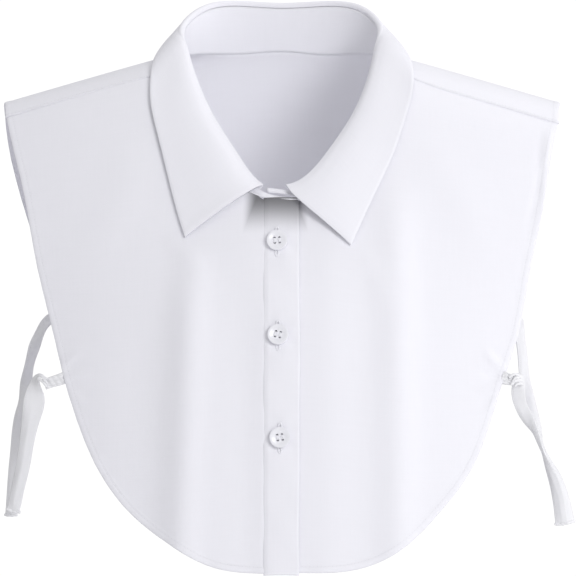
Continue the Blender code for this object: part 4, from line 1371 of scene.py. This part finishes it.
def cloth_material(name, colour, pitch, wrinkle, stitch_rows, roughness=0.82, weave_depth=0.00004, painted_throat_shade=False):
    """stitch_rows are (UV map, inset, pitch) of each row of stitches."""
    material = bpy.data.materials.new(name)
    material.use_nodes = True
    tree = material.node_tree
    shader = tree.nodes["Principled BSDF"]
    threads = uv_of(tree, "cloth")
    weave = place_group(tree, WEAVE, Threads=threads, Pitch=pitch, Depth=weave_depth)
    slubs = place_group(tree, SLUBS, Threads=threads)
    place = tree.nodes.new("ShaderNodeTexCoord").outputs["Object"]
    wrinkles = place_group(tree, WRINKLES, Place=place, Depth=wrinkle)
    height = math_node(tree, "ADD", weave.outputs["Height"], wrinkles.outputs["Height"])
    height = math_node(tree, "MULTIPLY_ADD", slubs.outputs["Streaks"], 0.05 * MM, height)
    tone = math_node(tree, "MULTIPLY_ADD", slubs.outputs["Streaks"], 0.6, math_node(tree, "MULTIPLY", weave.outputs["Shade"], 0.4))
    darker = tuple(c * 0.93 for c in colour[:3]) + (1.0,)
    shown = mixed_colour(tree, tone, darker, colour)
    for map_name, inset, stitch_pitch in stitch_rows:
        stitches = place_group(tree, STITCHES, Edge=uv_of(tree, map_name), Inset=inset * MM, Pitch=stitch_pitch * MM)
        height = math_node(tree, "MULTIPLY_ADD", stitches.outputs["Groove"], -0.07 * MM, height)
        height = math_node(tree, "MULTIPLY_ADD", stitches.outputs["Thread"], 0.10 * MM, height)
        # Painted shade: the needle holes are greyed for the shade inside them.
        shown = mixed_colour(tree, math_node(tree, "MULTIPLY", stitches.outputs["Hole"], 0.7), shown, NEEDLE_HOLE_SHADE)
    # Painted shade: below the throat the cloth's colour is darkened to a fifth, where the closed collar keeps light
    # off it.
    if painted_throat_shade:
        shade = place_group(tree, THROAT, Place=place)
        shown = mixed_colour(tree, shade.outputs["Open"], tuple(c * 0.2 for c in colour[:3]) + (1.0,), shown)
    bump = tree.nodes.new("ShaderNodeBump")
    bump.inputs["Distance"].default_value = 1.0
    bump.inputs["Strength"].default_value = 1.0
    tree.links.new(height, bump.inputs["Height"])
    tree.links.new(bump.outputs[0], shader.inputs["Normal"])
    tree.links.new(shown, shader.inputs["Base Color"])
    shader.inputs["Roughness"].default_value = roughness
    shader.inputs["Specular IOR Level"].default_value = 0.25
    shader.inputs["Sheen Weight"].default_value = 0.12
    shader.inputs["Sheen Roughness"].default_value = 0.45
    return material


POPLIN = cloth_material("poplin, hemmed", CLOTH_WHITE, 0.00030, 0.00055, [("edge", 3.8, 2.4)], painted_throat_shade=True)
POPLIN_BACK = cloth_material(
    "poplin, hemmed and lapped", CLOTH_WHITE, 0.00030, 0.00055, [("edge", 3.8, 2.4), ("seam", 1.4, 2.4)]
)
POPLIN_PLACKET = cloth_material("poplin, placket", CLOTH_WHITE, 0.00030, 0.00025, [], painted_throat_shade=True)
POPLIN_COLLAR = cloth_material("poplin, interlined", CLOTH_WHITE, 0.00030, 0.00022, [])
TAPE = cloth_material("tape", TAPE_WHITE, 0.00045, 0.00018, [], roughness=0.5, weave_depth=0.00009)
TAPE_SEWN = cloth_material(
    "tape, sewn", TAPE_WHITE, 0.00045, 0.00018, [("edge", 1.3, 1.5)], roughness=0.5, weave_depth=0.00009
)
print("cloth materials:", POPLIN.name, "/", POPLIN_COLLAR.name, "/", TAPE.name)

# %% [markdown]
# Thread is twisted cotton, so it is the cloth's white with a fine ripple. The buttons are a
# glossy cast plastic with a faint cloudiness, a little cooler than the cloth.

# %% Thread and button materials
def plain_material(name, colour, roughness, noise_scale, change, bump_depth, coat=0.0):
    """A material with a soft cloudiness on Object coordinates."""
    material = bpy.data.materials.new(name)
    material.use_nodes = True
    tree = material.node_tree
    shader = tree.nodes["Principled BSDF"]
    place = tree.nodes.new("ShaderNodeTexCoord").outputs["Object"]
    noise = tree.nodes.new("ShaderNodeTexNoise")
    noise.inputs["Scale"].default_value = noise_scale
    noise.inputs["Detail"].default_value = 3.0
    tree.links.new(place, noise.inputs["Vector"])
    darker = tuple(c * (1.0 - change) for c in colour[:3]) + (1.0,)
    tree.links.new(mixed_colour(tree, noise.outputs[0], darker, colour), shader.inputs["Base Color"])
    bump = tree.nodes.new("ShaderNodeBump")
    bump.inputs["Distance"].default_value = 1.0
    bump.inputs["Strength"].default_value = 1.0
    tree.links.new(math_node(tree, "MULTIPLY", noise.outputs[0], bump_depth), bump.inputs["Height"])
    tree.links.new(bump.outputs[0], shader.inputs["Normal"])
    shader.inputs["Roughness"].default_value = roughness
    shader.inputs["Coat Weight"].default_value = coat
    shader.inputs["Coat Roughness"].default_value = 0.15
    return material


THREAD = plain_material("white thread", (0.86, 0.86, 0.91, 1.0), 0.75, 1800.0, 0.12, 0.00010)
BUTTON = plain_material("cast button", (0.83, 0.83, 0.88, 1.0), 0.28, 160.0, 0.05, 0.00002, coat=0.4)
print("hard materials:", THREAD.name, "/", BUTTON.name)

# %% [markdown]
# ## Putting the pieces together
# Each piece gets its material, rides on the one body and hides the solid that it stands for. Tables list the ties'
# widths and tabs, and the sizes that the panels, the placket and the collar were cut to.

# %% Finish, body and solid of each piece
CLOTH_OF = {
    "front_right": POPLIN,
    "front_left": POPLIN,
    "back": POPLIN_BACK,
    "placket": POPLIN_PLACKET,
    "collar_stand": POPLIN_COLLAR,
    "collar_leaf": POPLIN_COLLAR,
}


def dress(piece, material, slot, *nodes):
    piece.data.materials.clear()
    piece.data.materials.append(material)
    if piece.parent is None:
        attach(piece, "root")
    if nodes:
        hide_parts(*nodes)


for name, (piece, area) in panels.items():
    dress(piece, CLOTH_OF[name], "white_poplin", name)
for name, piece in tie_objects.items():
    dress(piece, TAPE_SEWN, "white_tape", name)
    for end in piece.children:
        dress(end, TAPE, "white_tape")
for name, piece in tab_objects.items():
    dress(piece, TAPE, "white_tape", name)
for piece in loop_objects.values():
    dress(piece, TAPE, "white_tape")
for name, piece in button_objects.items():
    dress(piece, BUTTON, "white_button", name)
for piece in (*thread_objects.values(), *buttonhole_objects.values()):
    dress(piece, THREAD, "white_poplin")

# %% Cords and sheets
# Columns: width, held, rests on. The cut is the piece laid flat, in millimetres.
SHEETS = {
    "front_right": ((180.0, 312.0), "hung", ["collar_stand"]),
    "front_left": ((190.0, 312.0), "hung", ["collar_stand"]),
    "back": ((350.0, 350.0), "hung", ["collar_stand"]),
    "placket": (PLACKET_CUT, "laid", ["front_right"]),
    "collar_stand": ((492.0, 26.0), "stretched", ["back"]),
    "collar_leaf": ((450.0, 72.0), "folded", ["collar_stand"]),
}
for name, ((width, length), held, rests_on) in SHEETS.items():
    piece, area = panels[name]

# Columns: width as the diameter, the tab on it.
CORDS = {
    "tie_front_right": (8.6, "tab_front_right", "loop_folds_right"),
    "tie_back_right": (7.0, None, None),
    "tie_front_left": (7.4, "tab_front_left", "loop_folds_left"),
    "tie_back_left": (7.0, None, None),
}
for name, (width, tab, loop) in CORDS.items():
    line = tie_lines[name] * MM
    on_it = list(tie_objects[name].children)
    if tab:
        on_it += [tab_objects[tab], loop_objects[loop]]

# %% [markdown]
# ## Stage and light
# The floor is a plain pale sheet well below the collar, which hangs at the height where it is
# worn. A wide soft lamp stands to the wearer's left and a little above, so that side of the
# collar is bright and the other is shaded, and the inside of the back is lit from that side too.
# The rest is even light from all round.

# %% Floor and world
FLOOR_LEVEL = -0.62
bpy.ops.object.select_all(action="DESELECT")
bpy.ops.mesh.primitive_circle_add(vertices=96, radius=3.0, fill_type="NGON", location=(0.0, 0.0, FLOOR_LEVEL))
floor = bpy.context.object
floor.name = "floor"
bpy.ops.object.transform_apply(location=True, rotation=False, scale=False)
floor_material = bpy.data.materials.new("pale floor")
floor_material.use_nodes = True
floor_shader = floor_material.node_tree.nodes["Principled BSDF"]
floor_shader.inputs["Base Color"].default_value = (0.86, 0.86, 0.87, 1.0)
floor_shader.inputs["Roughness"].default_value = 0.9
floor.data.materials.append(floor_material)

world = bpy.data.worlds.new("even light")
world.use_nodes = True
sky = world.node_tree.nodes["Background"]
LIGHT_FROM_ROUND = 0.54
SHOWN_BACKDROP = 1.05
path = world.node_tree.nodes.new("ShaderNodeLightPath")
level = world.node_tree.nodes.new("ShaderNodeMix")
level.inputs[2].default_value = LIGHT_FROM_ROUND
level.inputs[3].default_value = SHOWN_BACKDROP
world.node_tree.links.new(path.outputs["Is Camera Ray"], level.inputs[0])
world.node_tree.links.new(level.outputs[0], sky.inputs["Strength"])
sky.inputs["Color"].default_value = (1.0, 1.0, 1.0, 1.0)
bpy.context.scene.world = world
bpy.context.scene.view_settings.view_transform = "Standard"
print("floor at", FLOOR_LEVEL, "m")

# %% Lamps
# Columns: place, size in metres, power in watts.
LAMPS = {
    "key": ((1.36, -2.57, 0.64), 1.1, 37.0),
    "side": ((2.83, 0.45, 0.77), 1.1, 20.0),
    "top": ((0.0, 0.6, 2.82), 1.1, 18.0),
}
LAMP_TARGET = Vector((0.0, 0.0, -0.12))
for name, (place, size, power) in LAMPS.items():
    lamp_data = bpy.data.lights.new(name, "AREA")
    lamp_data.shape = "SQUARE"
    lamp_data.size = size
    lamp_data.energy = power
    lamp = bpy.data.objects.new(name, lamp_data)
    lamp.location = place
    lamp.rotation_euler = (LAMP_TARGET - Vector(place)).to_track_quat("-Z", "Y").to_euler()
    bpy.context.scene.collection.objects.link(lamp)
print("lamps:", ", ".join(LAMPS))
